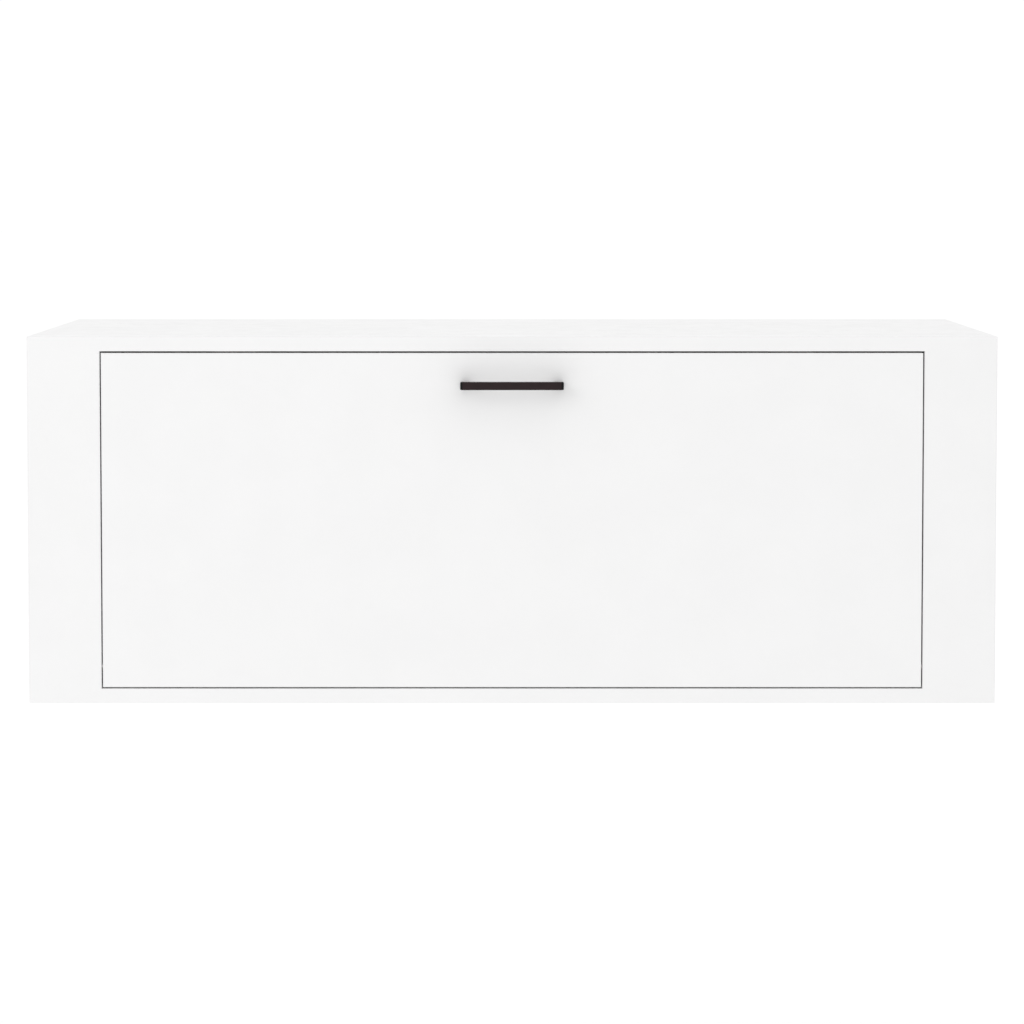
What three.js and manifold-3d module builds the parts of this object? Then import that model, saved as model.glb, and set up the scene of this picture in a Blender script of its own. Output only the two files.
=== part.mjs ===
// A wall-hung secretary desk with a fall front. The carcass is a box of faced board with wide front
// stiles. The flap turns on two pivot pins at its foot, drops a quarter turn and lies level with the
// desk board inside, held by a slotted stay at each end.
// Millimetres. X runs to the right, Y to the wall and Z up. The origin is on the wall plane, at the
// middle of the upper hanging rail's rear face.
import * as THREE from "three";
import { mergeVertices } from "three/addons/utils/BufferGeometryUtils.js";
import Module from "manifold-3d";

const wasm = await Module();
wasm.setup();

// ---- Driving dimensions ----

// Carcass
const WIDTH = 1000; // overall, side to side
const DEPTH = 350; // front face to wall
const HEIGHT = 380; // underside to top face
const BOARD = 15; // every faced board
const BACK_SHEET = 3; // hardboard back panel
const GROOVE_DEPTH = 6; // groove that holds the back panel
const RAIL_HEIGHT = 80; // upper hanging rail and lower back rail
const RAIL_HOLE_FROM_END = 85; // wall screw's centre to each end of a rail
const RAIL_HOLE_FROM_DIVIDER = 50; // wall screw's centre to the outer face of a divider
const WALL_SCREW_HOLE = 2.75; // radius

// Front
const STILE_WIDTH = 75;
const SIDE_GAP = 1.5; // flap to each stile
const TOP_GAP = 1.8; // flap to top panel
const BOTTOM_GAP = 1.5; // flap to bottom panel

// Inside
const DIVIDERS = 2;
const SHELF_SETBACK = 15; // shelf and divider fronts behind the flap's inner face
const SHELF_HEADROOM = 6; // shelf underside above the highest sweep of the stay brackets

// Clearances
const FIT = 0.3; // between faces that touch
const BORE_FIT = 0.3; // all round a pin, screw or stem in its bore
const SWING_CLEARANCE = 0.2; // turning corner of the flap to the bottom panel
const BOARD_CLEARANCE = 0.6; // turning corner of the flap to the desk board
const OVERCUT = 1; // how far a cutter starts outside the face it cuts

// Pivots
const PIN_RADIUS = 3;
const PIN_IN_STILE = 12;
const PIN_IN_BUSH = 10;
const BUSH_RADIUS = 5;
const BUSH_LENGTH = 14;
const FLANGE_RADIUS = 6.5;
const FLANGE_THICKNESS = 0.8;

// Stays
const STAY_RADIUS = 140; // hinge axis to the flap's stay pivot, and to the fixed stud
const STAY_START_ANGLE = Math.PI / 6; // between those two at the hinge axis, flap closed
const OPEN_ANGLE = Math.PI / 2; // turn of the flap from closed to level
const ARM_HALF_WIDTH = 7;
const ARM_OFF_FLAP = 1.5; // arm's round end clear of the flap's inner face
const ARM_THICKNESS = 2.5;
const ARM_END_LAND = 2; // arm beyond the slot's far centre, before its round end
const SLOT_PLAY = 0.6; // slot past the stud at both ends of its travel
const PLATE_THICKNESS = 2;
const PLATE_WIDTH = 16;
const PLATE_HEIGHT = 46;
const PLATE_SCREW_PITCH = 30;
const STANDOFF = 2; // arm clear of the plate
const STUD_RADIUS = 3;
const STUD_TAIL_RADIUS = 2.2;
const STUD_SHOULDER_RADIUS = 4.5;
const STUD_HEAD_RADIUS = 5.5;
const STUD_HEAD_HEIGHT = 1.5;
const ARM_PLAY = 0.5; // arm clear of the stud's shoulder and head
const LUG_GAP = 0.8; // arm clear of the bracket's lug
const BRACKET_SHEET = 2;
const BRACKET_HEIGHT = 24;
const BRACKET_LENGTH = 22;
const BRACKET_SCREW_PITCH = 14;
const LUG_LAND = 6.5; // lug past the rivet's centre
const RIVET_RADIUS = 2.5;
const RIVET_HEAD_RADIUS = 4.5;
const RIVET_HEAD_HEIGHT = 1.2;

// Wood screws of the small fittings
const SCREW_RADIUS = 1.6;
const SCREW_LENGTH = 12;
const SCREW_HEAD_RADIUS = 3.2;
const SCREW_HEAD_HEIGHT = 1.3;

// Pull
const PULL_CENTRES = 96; // between its screws
const PULL_LEG = 10; // each leg, along the pull
const PULL_HEIGHT = 8;
const PULL_GRIP = 8; // grip, front to back
const PULL_PROJECTION = 28; // flap face to the front of the grip
const PULL_CORNER = 2.5; // outer corner radius
const PULL_DROP = 32.2; // flap's top edge to the middle of the pull
const PULL_SCREW_RADIUS = 2;
const PULL_SCREW_HEAD_RADIUS = 4.2;
const PULL_SCREW_HEAD_HEIGHT = 2.2;
const PULL_SCREW_BITE = 8; // screw into each leg

// Magnetic catches
const CATCH_EAR = 10; // housing past each end of the magnet, with a screw in its middle
const CATCH_DEPTH = 30;
const CATCH_HEIGHT = 18;
const CATCH_SCREW_LAND = 6; // housing left above each sunk screw head
const MAGNET_LENGTH = 26;
const MAGNET_HEIGHT = 7;
const MAGNET_DEPTH = 8;
const MAGNET_PROUD = 0.5; // magnet in front of its housing
const STRIKE_MARGIN = 1; // strike plate past each side of the magnet
const STRIKE_THICKNESS = 1.2;
const STRIKE_STEM_RADIUS = 2;
const STRIKE_STEM_LENGTH = 8;

// Cam fittings
const CAM_RADIUS = 7.5;
const CAM_DEPTH = 12;
const CAM_FROM_END = 24; // cam's centre to the end of the side panel
const CAM_FROM_FRONT = 55; // cam's centre to the front edge of the side panel
const CAM_FROM_BACK = 60; // cam's centre to the rear edge of the side panel
const CAM_BOLT_RADIUS = 3;
const CAM_THREAD_RADIUS = 2.5;
const CAM_THREAD_LENGTH = 10;

// Roundness
const FINE_SIDES = 24;
const PLAIN_SIDES = 16;
const SMALL_SIDES = 12;
const CORNER_STEPS = 4;

// ---- Places worked out from the dimensions ----

const halfWidth = WIDTH / 2;
const sideInner = halfWidth - BOARD; // inner face of a side panel
const openingHalf = halfWidth - STILE_WIDTH; // inner edge of a stile and inner face of a partition
const partitionOuter = openingHalf + BOARD;
const flapHalf = openingHalf - SIDE_GAP;
const floorTop = BOARD; // top of the bottom panel
const ceiling = HEIGHT - BOARD; // underside of the top panel
const flapFoot = floorTop + BOTTOM_GAP;
const flapHead = ceiling - TOP_GAP;
const flapInner = BOARD; // inner face of the closed flap
const railFront = DEPTH - BOARD;
const sheetBack = railFront - FIT;
const sheetFront = sheetBack - BACK_SHEET;
const insideBack = sheetFront - FIT; // rear edge of what stands inside

// The pivot is as low in the flap as lets its lower corners turn past the bottom panel.
const pivotY = BOARD / 2;
const swingGap = BOTTOM_GAP - SWING_CLEARANCE;
const pivotAboveFoot = (pivotY ** 2 - swingGap ** 2) / (2 * swingGap);
const pivotZ = flapFoot + pivotAboveFoot;
const cornerSwing = pivotAboveFoot + swingGap;

// The desk board's top is level with the inner face of the opened flap.
const deskTop = pivotZ + BOARD / 2;
const deskFront = pivotY + cornerSwing + BOARD_CLEARANCE;

// The stay's flap pivot and fixed stud lie on one circle round the hinge axis, so the arm turns
// half as far as the flap, and its slot slides straight along the stud.
const stayPivotY = flapInner + ARM_HALF_WIDTH + ARM_OFF_FLAP;
const bracketAngle = Math.asin((stayPivotY - pivotY) / STAY_RADIUS);
const studAngle = bracketAngle + STAY_START_ANGLE;
const stayPivotZ = pivotZ + STAY_RADIUS * Math.cos(bracketAngle);
const studY = pivotY + STAY_RADIUS * Math.sin(studAngle);
const studZ = pivotZ + STAY_RADIUS * Math.cos(studAngle);
const armSlope = (bracketAngle + studAngle) / 2; // below level, flap closed
const closedReach = 2 * STAY_RADIUS * Math.sin(STAY_START_ANGLE / 2);
const openReach = 2 * STAY_RADIUS * Math.sin((STAY_START_ANGLE + OPEN_ANGLE) / 2);

// Layers of a stay, from the partition inwards.
const plateOuter = openingHalf - FIT;
const plateInner = plateOuter - PLATE_THICKNESS;
const armOuter = plateInner - STANDOFF;
const armInner = armOuter - ARM_THICKNESS;
const lugOuter = armInner - LUG_GAP;
const lugInner = lugOuter - BRACKET_SHEET;
const bracketScrewX = lugInner - (BRACKET_LENGTH - BRACKET_SHEET) / 2;

const shelfUnderside = pivotZ + STAY_RADIUS + BRACKET_HEIGHT / 2 + SHELF_HEADROOM;
const shelfTop = shelfUnderside + BOARD;
const shelfFront = flapInner + SHELF_SETBACK;
const bay = (2 * openingHalf - DIVIDERS * BOARD) / (DIVIDERS + 1); // each of the equal pigeonholes
const dividerInner = bay / 2;
const dividerOuter = dividerInner + BOARD;
const catchX = (dividerOuter + openingHalf) / 2;
const catchZ = ceiling - FIT - CATCH_HEIGHT / 2;
const strikeFront = flapInner + FIT;
const magnetFront = strikeFront + STRIKE_THICKNESS + FIT;
const catchFront = magnetFront + MAGNET_PROUD;
const catchReach = MAGNET_LENGTH / 2 + CATCH_EAR;
const catchScrewReach = MAGNET_LENGTH / 2 + CATCH_EAR / 2;

const pullZ = flapHead - PULL_DROP;
const pullScrewX = PULL_CENTRES / 2;
const upperRailZ = ceiling - FIT - RAIL_HEIGHT / 2;
const lowerRailZ = floorTop + FIT + RAIL_HEIGHT / 2;

const SIDES = [
  { name: "left", sign: -1 },
  { name: "right", sign: 1 },
];
const ENDS = [
  { name: "bottom", sign: -1, panelEnd: floorTop + FIT },
  { name: "top", sign: 1, panelEnd: ceiling - FIT },
];
const CAM_PLACES = [
  { name: "front", y: flapInner + FIT + CAM_FROM_FRONT },
  { name: "rear", y: DEPTH - CAM_FROM_BACK },
];

const X = new THREE.Vector3(1, 0, 0);
const Y = new THREE.Vector3(0, 1, 0);
const Z = new THREE.Vector3(0, 0, 1);

// ---- Finishes ----

function finish(colour, roughness, metalness) {
  return new THREE.MeshStandardMaterial({ color: colour, roughness, metalness });
}

const finishes = {
  board: finish(0xf5f5f4, 0.35, 0),
  sheet: finish(0xece9e2, 0.6, 0),
  steel: finish(0xb8babd, 0.35, 1),
  zinc: finish(0xa6a8aa, 0.45, 1),
  black: finish(0x2b2729, 0.45, 0.3),
  nylon: finish(0xe6e4dc, 0.5, 0),
  magnet: finish(0x3a3b3d, 0.5, 0.6),
};

// ---- Shapes ----

/** A closed geometry as a manifold solid. */
function solid(geometry) {
  const bare = geometry.clone();
  bare.deleteAttribute("normal");
  bare.deleteAttribute("uv");
  const merged = mergeVertices(bare, 1e-4);
  return new wasm.Manifold(
    new wasm.Mesh({
      numProp: 3,
      vertProperties: merged.attributes.position.array,
      triVerts: new Uint32Array(merged.index.array),
    }),
  );
}

/** A manifold solid as a geometry. */
function geometryOf(made) {
  const mesh = made.getMesh();
  const geometry = new THREE.BufferGeometry();
  geometry.setAttribute("position", new THREE.BufferAttribute(mesh.vertProperties, 3));
  geometry.setIndex(new THREE.BufferAttribute(mesh.triVerts, 1));
  geometry.computeVertexNormals();
  return geometry;
}

/** The first geometry with the added ones joined on and the cutters taken away. */
function shaped(base, added, cutters) {
  let made = solid(base);
  for (const piece of added) made = made.add(solid(piece));
  for (const cutter of cutters) made = made.subtract(solid(cutter));
  return geometryOf(made);
}

/** A block between [low, high] limits along X, Y and Z. */
function block(x, y, z) {
  const geometry = new THREE.BoxGeometry(x[1] - x[0], y[1] - y[0], z[1] - z[0]);
  geometry.translate((x[0] + x[1]) / 2, (y[0] + y[1]) / 2, (z[0] + z[1]) / 2);
  return geometry;
}

/** A turned piece about Y: [radius, length] steps, one after another from the origin. */
function turned(steps, sides) {
  const outline = [new THREE.Vector2(0, 0)];
  let reach = 0;
  for (const [radius, length] of steps) {
    outline.push(new THREE.Vector2(radius, reach));
    reach += length;
    outline.push(new THREE.Vector2(radius, reach));
  }
  outline.push(new THREE.Vector2(0, reach));
  return new THREE.LatheGeometry(outline, sides);
}

/** The steps of a turned piece, each grown all round by the bore clearance. */
function loose(steps) {
  return steps.map(([radius, length]) => [radius + BORE_FIT, length]);
}

/** A cutter or joined boss: a turned piece that starts at a point and runs along a direction. */
function turnedAt(point, direction, steps, sides) {
  const geometry = turned(steps, sides);
  geometry.applyQuaternion(new THREE.Quaternion().setFromUnitVectors(Y, direction));
  geometry.translate(...point);
  return geometry;
}

/** Low and high limits of a stretch on one side of the middle, given from the middle outwards. */
function outward(sign, near, far) {
  return sign > 0 ? [near, far] : [-far, -near];
}

/** The direction along X that leads away from the middle on one side. */
function away(sign) {
  return X.clone().multiplyScalar(sign);
}

// ---- Assembly ----

/** Adds a named mesh at a point. */
function add(parent, name, geometry, material, point = [0, 0, 0]) {
  const mesh = new THREE.Mesh(geometry, material);
  mesh.name = name;
  mesh.position.set(...point);
  parent.add(mesh);
  return mesh;
}

/** Adds a named board between limits, cut by cutters given in the parent's own coordinates. */
function addBoard(parent, name, [x, y, z], cutters = [], material = finishes.board) {
  const centre = [x, y, z].map(([low, high]) => (low + high) / 2);
  const geometry = shaped(block(x, y, z), [], cutters);
  geometry.translate(...centre.map((value) => -value));
  return add(parent, name, geometry, material, centre);
}

/** Adds a named turned piece that starts at a point and runs along a direction. */
function addTurned(parent, name, point, direction, steps, sides, material) {
  const mesh = add(parent, name, turned(steps, sides), material, point);
  mesh.quaternion.setFromUnitVectors(Y, direction);
  return mesh;
}

const SCREW_STEPS = [
  [SCREW_HEAD_RADIUS, SCREW_HEAD_HEIGHT],
  [SCREW_RADIUS, SCREW_LENGTH],
];

/** Adds a wood screw whose head rests on a face point and whose shank runs along a direction. */
function addScrew(parent, name, face, direction) {
  const start = direction.clone().multiplyScalar(-SCREW_HEAD_HEIGHT - FIT);
  start.add(new THREE.Vector3(...face));
  addTurned(parent, name, start.toArray(), direction, SCREW_STEPS, SMALL_SIDES, finishes.steel);
}

/** The bore of a wood screw through a face point, with room past its tip. */
function screwBore(face, direction) {
  const start = direction.clone().multiplyScalar(-OVERCUT);
  start.add(new THREE.Vector3(...face));
  const steps = loose([[SCREW_RADIUS, OVERCUT + SCREW_LENGTH]]);
  return turnedAt(start.toArray(), direction, steps, SMALL_SIDES);
}

/** The eight cam fittings' places: side, end and front or rear. */
function camPlaces() {
  return SIDES.flatMap((side) =>
    ENDS.flatMap((end) => CAM_PLACES.map((place) => ({ side, end, place }))),
  );
}

/** The bolt of a cam fitting from its cam's centre, thread last. */
function camBolt({ side, end, place }, steps) {
  const centre = [
    side.sign * (halfWidth - BOARD / 2),
    place.y,
    end.panelEnd - end.sign * CAM_FROM_END,
  ];
  return turnedAt(centre, Z.clone().multiplyScalar(end.sign), steps, SMALL_SIDES);
}

/** The cam of a cam fitting, flush with the side panel's inner face. */
function camDisc({ side, end, place }, start, steps) {
  const centre = [side.sign * start, place.y, end.panelEnd - end.sign * CAM_FROM_END];
  return turnedAt(centre, away(side.sign), steps, PLAIN_SIDES);
}

// The bolt's shoulder lies midway between the two boards.
const CAM_BOLT_STEPS = [
  [CAM_BOLT_RADIUS, CAM_FROM_END + FIT / 2],
  [CAM_THREAD_RADIUS, CAM_THREAD_LENGTH + FIT / 2],
];

function camBores(isWanted) {
  return camPlaces()
    .filter(isWanted)
    .flatMap((fitting) => [
      camBolt(fitting, loose([...CAM_BOLT_STEPS, [CAM_THREAD_RADIUS, FIT]])),
      camDisc(fitting, sideInner - OVERCUT, loose([[CAM_RADIUS, CAM_DEPTH + OVERCUT + FIT]])),
    ]);
}

function addCamFittings(cabinet) {
  for (const fitting of camPlaces()) {
    const { side, end, place } = fitting;
    const disc = camDisc(fitting, sideInner, [[CAM_RADIUS, CAM_DEPTH]]);
    const geometry = shaped(disc, [camBolt(fitting, CAM_BOLT_STEPS)], []);
    add(cabinet, `cam_fitting_${side.name}_${end.name}_${place.name}`, geometry, finishes.zinc);
  }
}

/** The groove for the back panel in a top or bottom panel, stopped short of the ends. */
function sheetGroove(z) {
  const reach = sideInner + GROOVE_DEPTH + FIT;
  return block([-reach, reach], [sheetFront - FIT, sheetBack + FIT], z);
}

function addTopAndBottom(cabinet) {
  const x = [-halfWidth, halfWidth];
  const y = [0, DEPTH];
  addBoard(cabinet, "top_panel", [x, y, [ceiling, HEIGHT]], [
    sheetGroove([ceiling - OVERCUT, ceiling + GROOVE_DEPTH]),
    ...camBores(({ end }) => end.name === "top"),
    ...SIDES.flatMap(({ sign }) => catchScrewPlaces(sign).map((face) => screwBore(face, Z))),
  ]);
  addBoard(cabinet, "bottom_panel", [x, y, [0, floorTop]], [
    sheetGroove([floorTop - GROOVE_DEPTH, floorTop + OVERCUT]),
    ...camBores(({ end }) => end.name === "bottom"),
  ]);
}

function addUprights(cabinet) {
  const z = [floorTop + FIT, ceiling - FIT];
  for (const { name, sign } of SIDES) {
    const groove = block(
      outward(sign, sideInner - OVERCUT, sideInner + GROOVE_DEPTH),
      [sheetFront - FIT, sheetBack + FIT],
      [0, HEIGHT],
    );
    addBoard(
      cabinet,
      `${name}_side_panel`,
      [outward(sign, sideInner, halfWidth), [flapInner + FIT, DEPTH], z],
      [groove, ...camBores(({ side }) => side.sign === sign)],
    );
    const pinBore = turnedAt(
      [sign * (openingHalf - OVERCUT), pivotY, pivotZ],
      away(sign),
      loose([[PIN_RADIUS, OVERCUT + PIN_IN_STILE + FIT]]),
      FINE_SIDES,
    );
    addBoard(
      cabinet,
      `${name}_front_stile`,
      [outward(sign, openingHalf, halfWidth), [0, flapInner], z],
      [pinBore],
    );
    addBoard(
      cabinet,
      `${name}_partition`,
      [outward(sign, openingHalf, partitionOuter), [flapInner + FIT, insideBack], z],
      plateScrewPlaces(sign).map((face) => screwBore(face, away(sign))),
    );
  }
}

function addBack(cabinet) {
  const wallHoles = (reaches, z) =>
    reaches.flatMap((reach) =>
      SIDES.map(({ sign }) =>
        turnedAt([sign * reach, 0, z], Y, [[WALL_SCREW_HOLE, DEPTH + OVERCUT]], PLAIN_SIDES),
      ),
    );
  const outerHole = sideInner - FIT - RAIL_HOLE_FROM_END;
  const upperHoles = wallHoles([dividerOuter + RAIL_HOLE_FROM_DIVIDER, outerHole], upperRailZ);
  const lowerHoles = wallHoles([outerHole], lowerRailZ);
  const sheetReach = sideInner + GROOVE_DEPTH - FIT;
  addBoard(
    cabinet,
    "back_panel",
    [
      [-sheetReach, sheetReach],
      [sheetFront, sheetBack],
      [floorTop - GROOVE_DEPTH + FIT, ceiling + GROOVE_DEPTH - FIT],
    ],
    [...upperHoles, ...lowerHoles],
    finishes.sheet,
  );
  const x = [-sideInner + FIT, sideInner - FIT];
  const y = [railFront, DEPTH];
  const band = (centre) => [centre - RAIL_HEIGHT / 2, centre + RAIL_HEIGHT / 2];
  addBoard(cabinet, "upper_hanging_rail", [x, y, band(upperRailZ)], upperHoles);
  addBoard(cabinet, "lower_back_rail", [x, y, band(lowerRailZ)], lowerHoles);
}

function addInside(cabinet) {
  const x = [-openingHalf + FIT, openingHalf - FIT];
  addBoard(cabinet, "desk_board", [x, [deskFront, insideBack], [deskTop - BOARD, deskTop]]);
  addBoard(cabinet, "shelf", [x, [shelfFront, insideBack], [shelfUnderside, shelfTop]]);
  for (const { name, sign } of SIDES) {
    addBoard(cabinet, `${name}_divider`, [
      outward(sign, dividerInner, dividerOuter),
      [shelfFront, insideBack],
      [shelfTop + FIT, ceiling - FIT],
    ]);
  }
}

function addPivotPins(cabinet) {
  for (const { name, sign } of SIDES) {
    addTurned(
      cabinet,
      `${name}_pivot_pin`,
      [sign * (openingHalf + PIN_IN_STILE), pivotY, pivotZ],
      away(-sign),
      [[PIN_RADIUS, PIN_IN_STILE + SIDE_GAP + PIN_IN_BUSH]],
      FINE_SIDES,
      finishes.steel,
    );
  }
}

/** Face points of the two screws of one stay plate, on the partition. */
function plateScrewPlaces(sign) {
  return [-1, 1].map((end) => [
    sign * openingHalf,
    studY,
    studZ + (end * PLATE_SCREW_PITCH) / 2,
  ]);
}

function addStayPlates(cabinet) {
  for (const { name, sign } of SIDES) {
    const plateHole = ([, y, z], radius) =>
      turnedAt(
        [sign * (plateInner - OVERCUT), y, z],
        away(sign),
        loose([[radius, PLATE_THICKNESS + 2 * OVERCUT]]),
        SMALL_SIDES,
      );
    const screws = plateScrewPlaces(sign);
    const limits = [
      outward(sign, plateInner, plateOuter),
      [studY - PLATE_WIDTH / 2, studY + PLATE_WIDTH / 2],
      [studZ - PLATE_HEIGHT / 2, studZ + PLATE_HEIGHT / 2],
    ];
    const holes = screws.map((place) => plateHole(place, SCREW_RADIUS));
    holes.push(plateHole([0, studY, studZ], STUD_TAIL_RADIUS));
    addBoard(cabinet, `${name}_stay_plate`, limits, holes, finishes.steel);
    screws.forEach(([, y, z], index) => {
      const head = [sign * plateInner, y, z];
      addScrew(cabinet, `${name}_plate_screw_${index + 1}`, head, away(sign));
    });
    addTurned(
      cabinet,
      `${name}_stay_stud`,
      [sign * plateOuter, studY, studZ],
      away(-sign),
      [
        [STUD_TAIL_RADIUS, PLATE_THICKNESS + FIT],
        [STUD_SHOULDER_RADIUS, STANDOFF - FIT - ARM_PLAY],
        [STUD_RADIUS, ARM_THICKNESS + 2 * ARM_PLAY],
        [STUD_HEAD_RADIUS, STUD_HEAD_HEIGHT],
      ],
      FINE_SIDES,
      finishes.steel,
    );
  }
}

/** Face points under the top panel of the two screws of one catch. */
function catchScrewPlaces(sign) {
  return [-1, 1].map((end) => [
    sign * catchX + end * catchScrewReach,
    catchFront + CATCH_DEPTH / 2,
    ceiling,
  ]);
}

function addCatches(cabinet) {
  const underside = catchZ - CATCH_HEIGHT / 2;
  const headFace = catchZ + CATCH_HEIGHT / 2 - CATCH_SCREW_LAND;
  const magnetBack = magnetFront + MAGNET_DEPTH;
  const reachX = MAGNET_LENGTH / 2;
  const reachZ = MAGNET_HEIGHT / 2;
  for (const { name, sign } of SIDES) {
    const centreX = sign * catchX;
    const screws = catchScrewPlaces(sign);
    const pocket = block(
      [centreX - reachX - FIT, centreX + reachX + FIT],
      [catchFront - OVERCUT, magnetBack + FIT],
      [catchZ - reachZ - FIT, catchZ + reachZ + FIT],
    );
    const screwHoles = screws.map(([x, y]) =>
      turnedAt(
        [x, y, underside - OVERCUT],
        Z,
        loose([
          [SCREW_HEAD_RADIUS, OVERCUT + headFace - underside],
          [SCREW_RADIUS, CATCH_SCREW_LAND + OVERCUT],
        ]),
        SMALL_SIDES,
      ),
    );
    addBoard(
      cabinet,
      `${name}_magnet_catch`,
      [
        [centreX - catchReach, centreX + catchReach],
        [catchFront, catchFront + CATCH_DEPTH],
        [underside, ceiling - FIT],
      ],
      [pocket, ...screwHoles],
      finishes.nylon,
    );
    addBoard(
      cabinet,
      `${name}_catch_magnet`,
      [
        [centreX - reachX, centreX + reachX],
        [magnetFront, magnetBack],
        [catchZ - reachZ, catchZ + reachZ],
      ],
      [],
      finishes.magnet,
    );
    screws.forEach(([x, y], index) => {
      addScrew(cabinet, `${name}_catch_screw_${index + 1}`, [x, y, headFace], Z);
    });
  }
}

function addFlap(fallFront) {
  const bushBores = SIDES.map(({ sign }) =>
    turnedAt(
      [sign * (flapHalf + OVERCUT), pivotY, pivotZ],
      away(-sign),
      loose([[BUSH_RADIUS, OVERCUT + BUSH_LENGTH]]),
      FINE_SIDES,
    ),
  );
  const pullBores = SIDES.map(({ sign }) =>
    turnedAt(
      [sign * pullScrewX, -OVERCUT, pullZ],
      Y,
      loose([[PULL_SCREW_RADIUS, BOARD + 2 * OVERCUT]]),
      PLAIN_SIDES,
    ),
  );
  const stemBores = SIDES.map(({ sign }) =>
    turnedAt(
      [sign * catchX, flapInner + OVERCUT, catchZ],
      Y.clone().negate(),
      loose([[STRIKE_STEM_RADIUS, OVERCUT + STRIKE_STEM_LENGTH]]),
      SMALL_SIDES,
    ),
  );
  const bracketBores = SIDES.flatMap(({ sign }) =>
    bracketScrewPlaces(sign).map((face) => screwBore(face, Y.clone().negate())),
  );
  addBoard(
    fallFront,
    "fall_front",
    [
      [-flapHalf, flapHalf],
      [0, flapInner],
      [flapFoot, flapHead],
    ],
    [...bushBores, ...pullBores, ...stemBores, ...bracketBores],
  );
}

/** The pull's outline seen from above: a bridge with round outer corners and two legs. */
function pullOutline() {
  const reach = pullScrewX + PULL_LEG / 2;
  const inside = pullScrewX - PULL_LEG / 2;
  const front = PULL_PROJECTION;
  const grip = front - PULL_GRIP;
  const shape = new THREE.Shape();
  shape.moveTo(-reach, FIT);
  shape.lineTo(-inside, FIT);
  shape.lineTo(-inside, grip - PULL_CORNER);
  shape.absarc(-inside + PULL_CORNER, grip - PULL_CORNER, PULL_CORNER, Math.PI, Math.PI / 2, true);
  shape.absarc(inside - PULL_CORNER, grip - PULL_CORNER, PULL_CORNER, Math.PI / 2, 0, true);
  shape.lineTo(inside, FIT);
  shape.lineTo(reach, FIT);
  shape.absarc(reach - PULL_CORNER, front - PULL_CORNER, PULL_CORNER, 0, Math.PI / 2, false);
  shape.absarc(-reach + PULL_CORNER, front - PULL_CORNER, PULL_CORNER, Math.PI / 2, Math.PI, false);
  shape.closePath();
  return shape;
}

function addPull(fallFront) {
  const bar = new THREE.ExtrudeGeometry(pullOutline(), {
    depth: PULL_HEIGHT,
    bevelEnabled: false,
    curveSegments: CORNER_STEPS,
  });
  bar.rotateX(Math.PI);
  bar.translate(0, 0, PULL_HEIGHT / 2);
  const tapped = SIDES.map(({ sign }) =>
    turnedAt(
      [sign * pullScrewX, OVERCUT, 0],
      Y.clone().negate(),
      loose([[PULL_SCREW_RADIUS, OVERCUT + PULL_SCREW_BITE + FIT]]),
      PLAIN_SIDES,
    ),
  );
  add(fallFront, "pull_handle", shaped(bar, [], tapped), finishes.black, [0, 0, pullZ]);
  for (const { name, sign } of SIDES) {
    addTurned(
      fallFront,
      `${name}_pull_screw`,
      [sign * pullScrewX, flapInner + FIT + PULL_SCREW_HEAD_HEIGHT, pullZ],
      Y.clone().negate(),
      [
        [PULL_SCREW_HEAD_RADIUS, PULL_SCREW_HEAD_HEIGHT],
        [PULL_SCREW_RADIUS, FIT + BOARD + PULL_SCREW_BITE],
      ],
      PLAIN_SIDES,
      finishes.steel,
    );
  }
}

function addBushes(fallFront) {
  const bore = PIN_RADIUS + BORE_FIT;
  const profile = [
    [bore, 0],
    [FLANGE_RADIUS, 0],
    [FLANGE_RADIUS, FLANGE_THICKNESS],
    [BUSH_RADIUS, FLANGE_THICKNESS],
    [BUSH_RADIUS, FLANGE_THICKNESS + BUSH_LENGTH],
    [bore, FLANGE_THICKNESS + BUSH_LENGTH],
    [bore, 0],
  ].map(([radius, along]) => new THREE.Vector2(radius, along));
  for (const { name, sign } of SIDES) {
    const mesh = add(
      fallFront,
      `${name}_pivot_bush`,
      new THREE.LatheGeometry(profile, FINE_SIDES),
      finishes.nylon,
      [sign * (flapHalf + FIT + FLANGE_THICKNESS), pivotY, pivotZ],
    );
    mesh.quaternion.setFromUnitVectors(Y, away(-sign));
  }
}

function addStrikes(fallFront) {
  const reachX = MAGNET_LENGTH / 2 + STRIKE_MARGIN;
  const reachZ = MAGNET_HEIGHT / 2 + STRIKE_MARGIN;
  for (const { name, sign } of SIDES) {
    const plate = block([-reachX, reachX], [0, STRIKE_THICKNESS], [-reachZ, reachZ]);
    const stem = turnedAt(
      [0, STRIKE_THICKNESS / 2, 0],
      Y.clone().negate(),
      [[STRIKE_STEM_RADIUS, STRIKE_THICKNESS / 2 + STRIKE_STEM_LENGTH]],
      SMALL_SIDES,
    );
    add(
      fallFront,
      `${name}_strike_plate`,
      shaped(plate, [stem], []),
      finishes.steel,
      [sign * catchX, strikeFront, catchZ],
    );
  }
}

/** Face points of the two screws of one stay bracket, on the flap. */
function bracketScrewPlaces(sign) {
  return [-1, 1].map((end) => [
    sign * bracketScrewX,
    flapInner,
    stayPivotZ + (end * BRACKET_SCREW_PITCH) / 2,
  ]);
}

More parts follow.
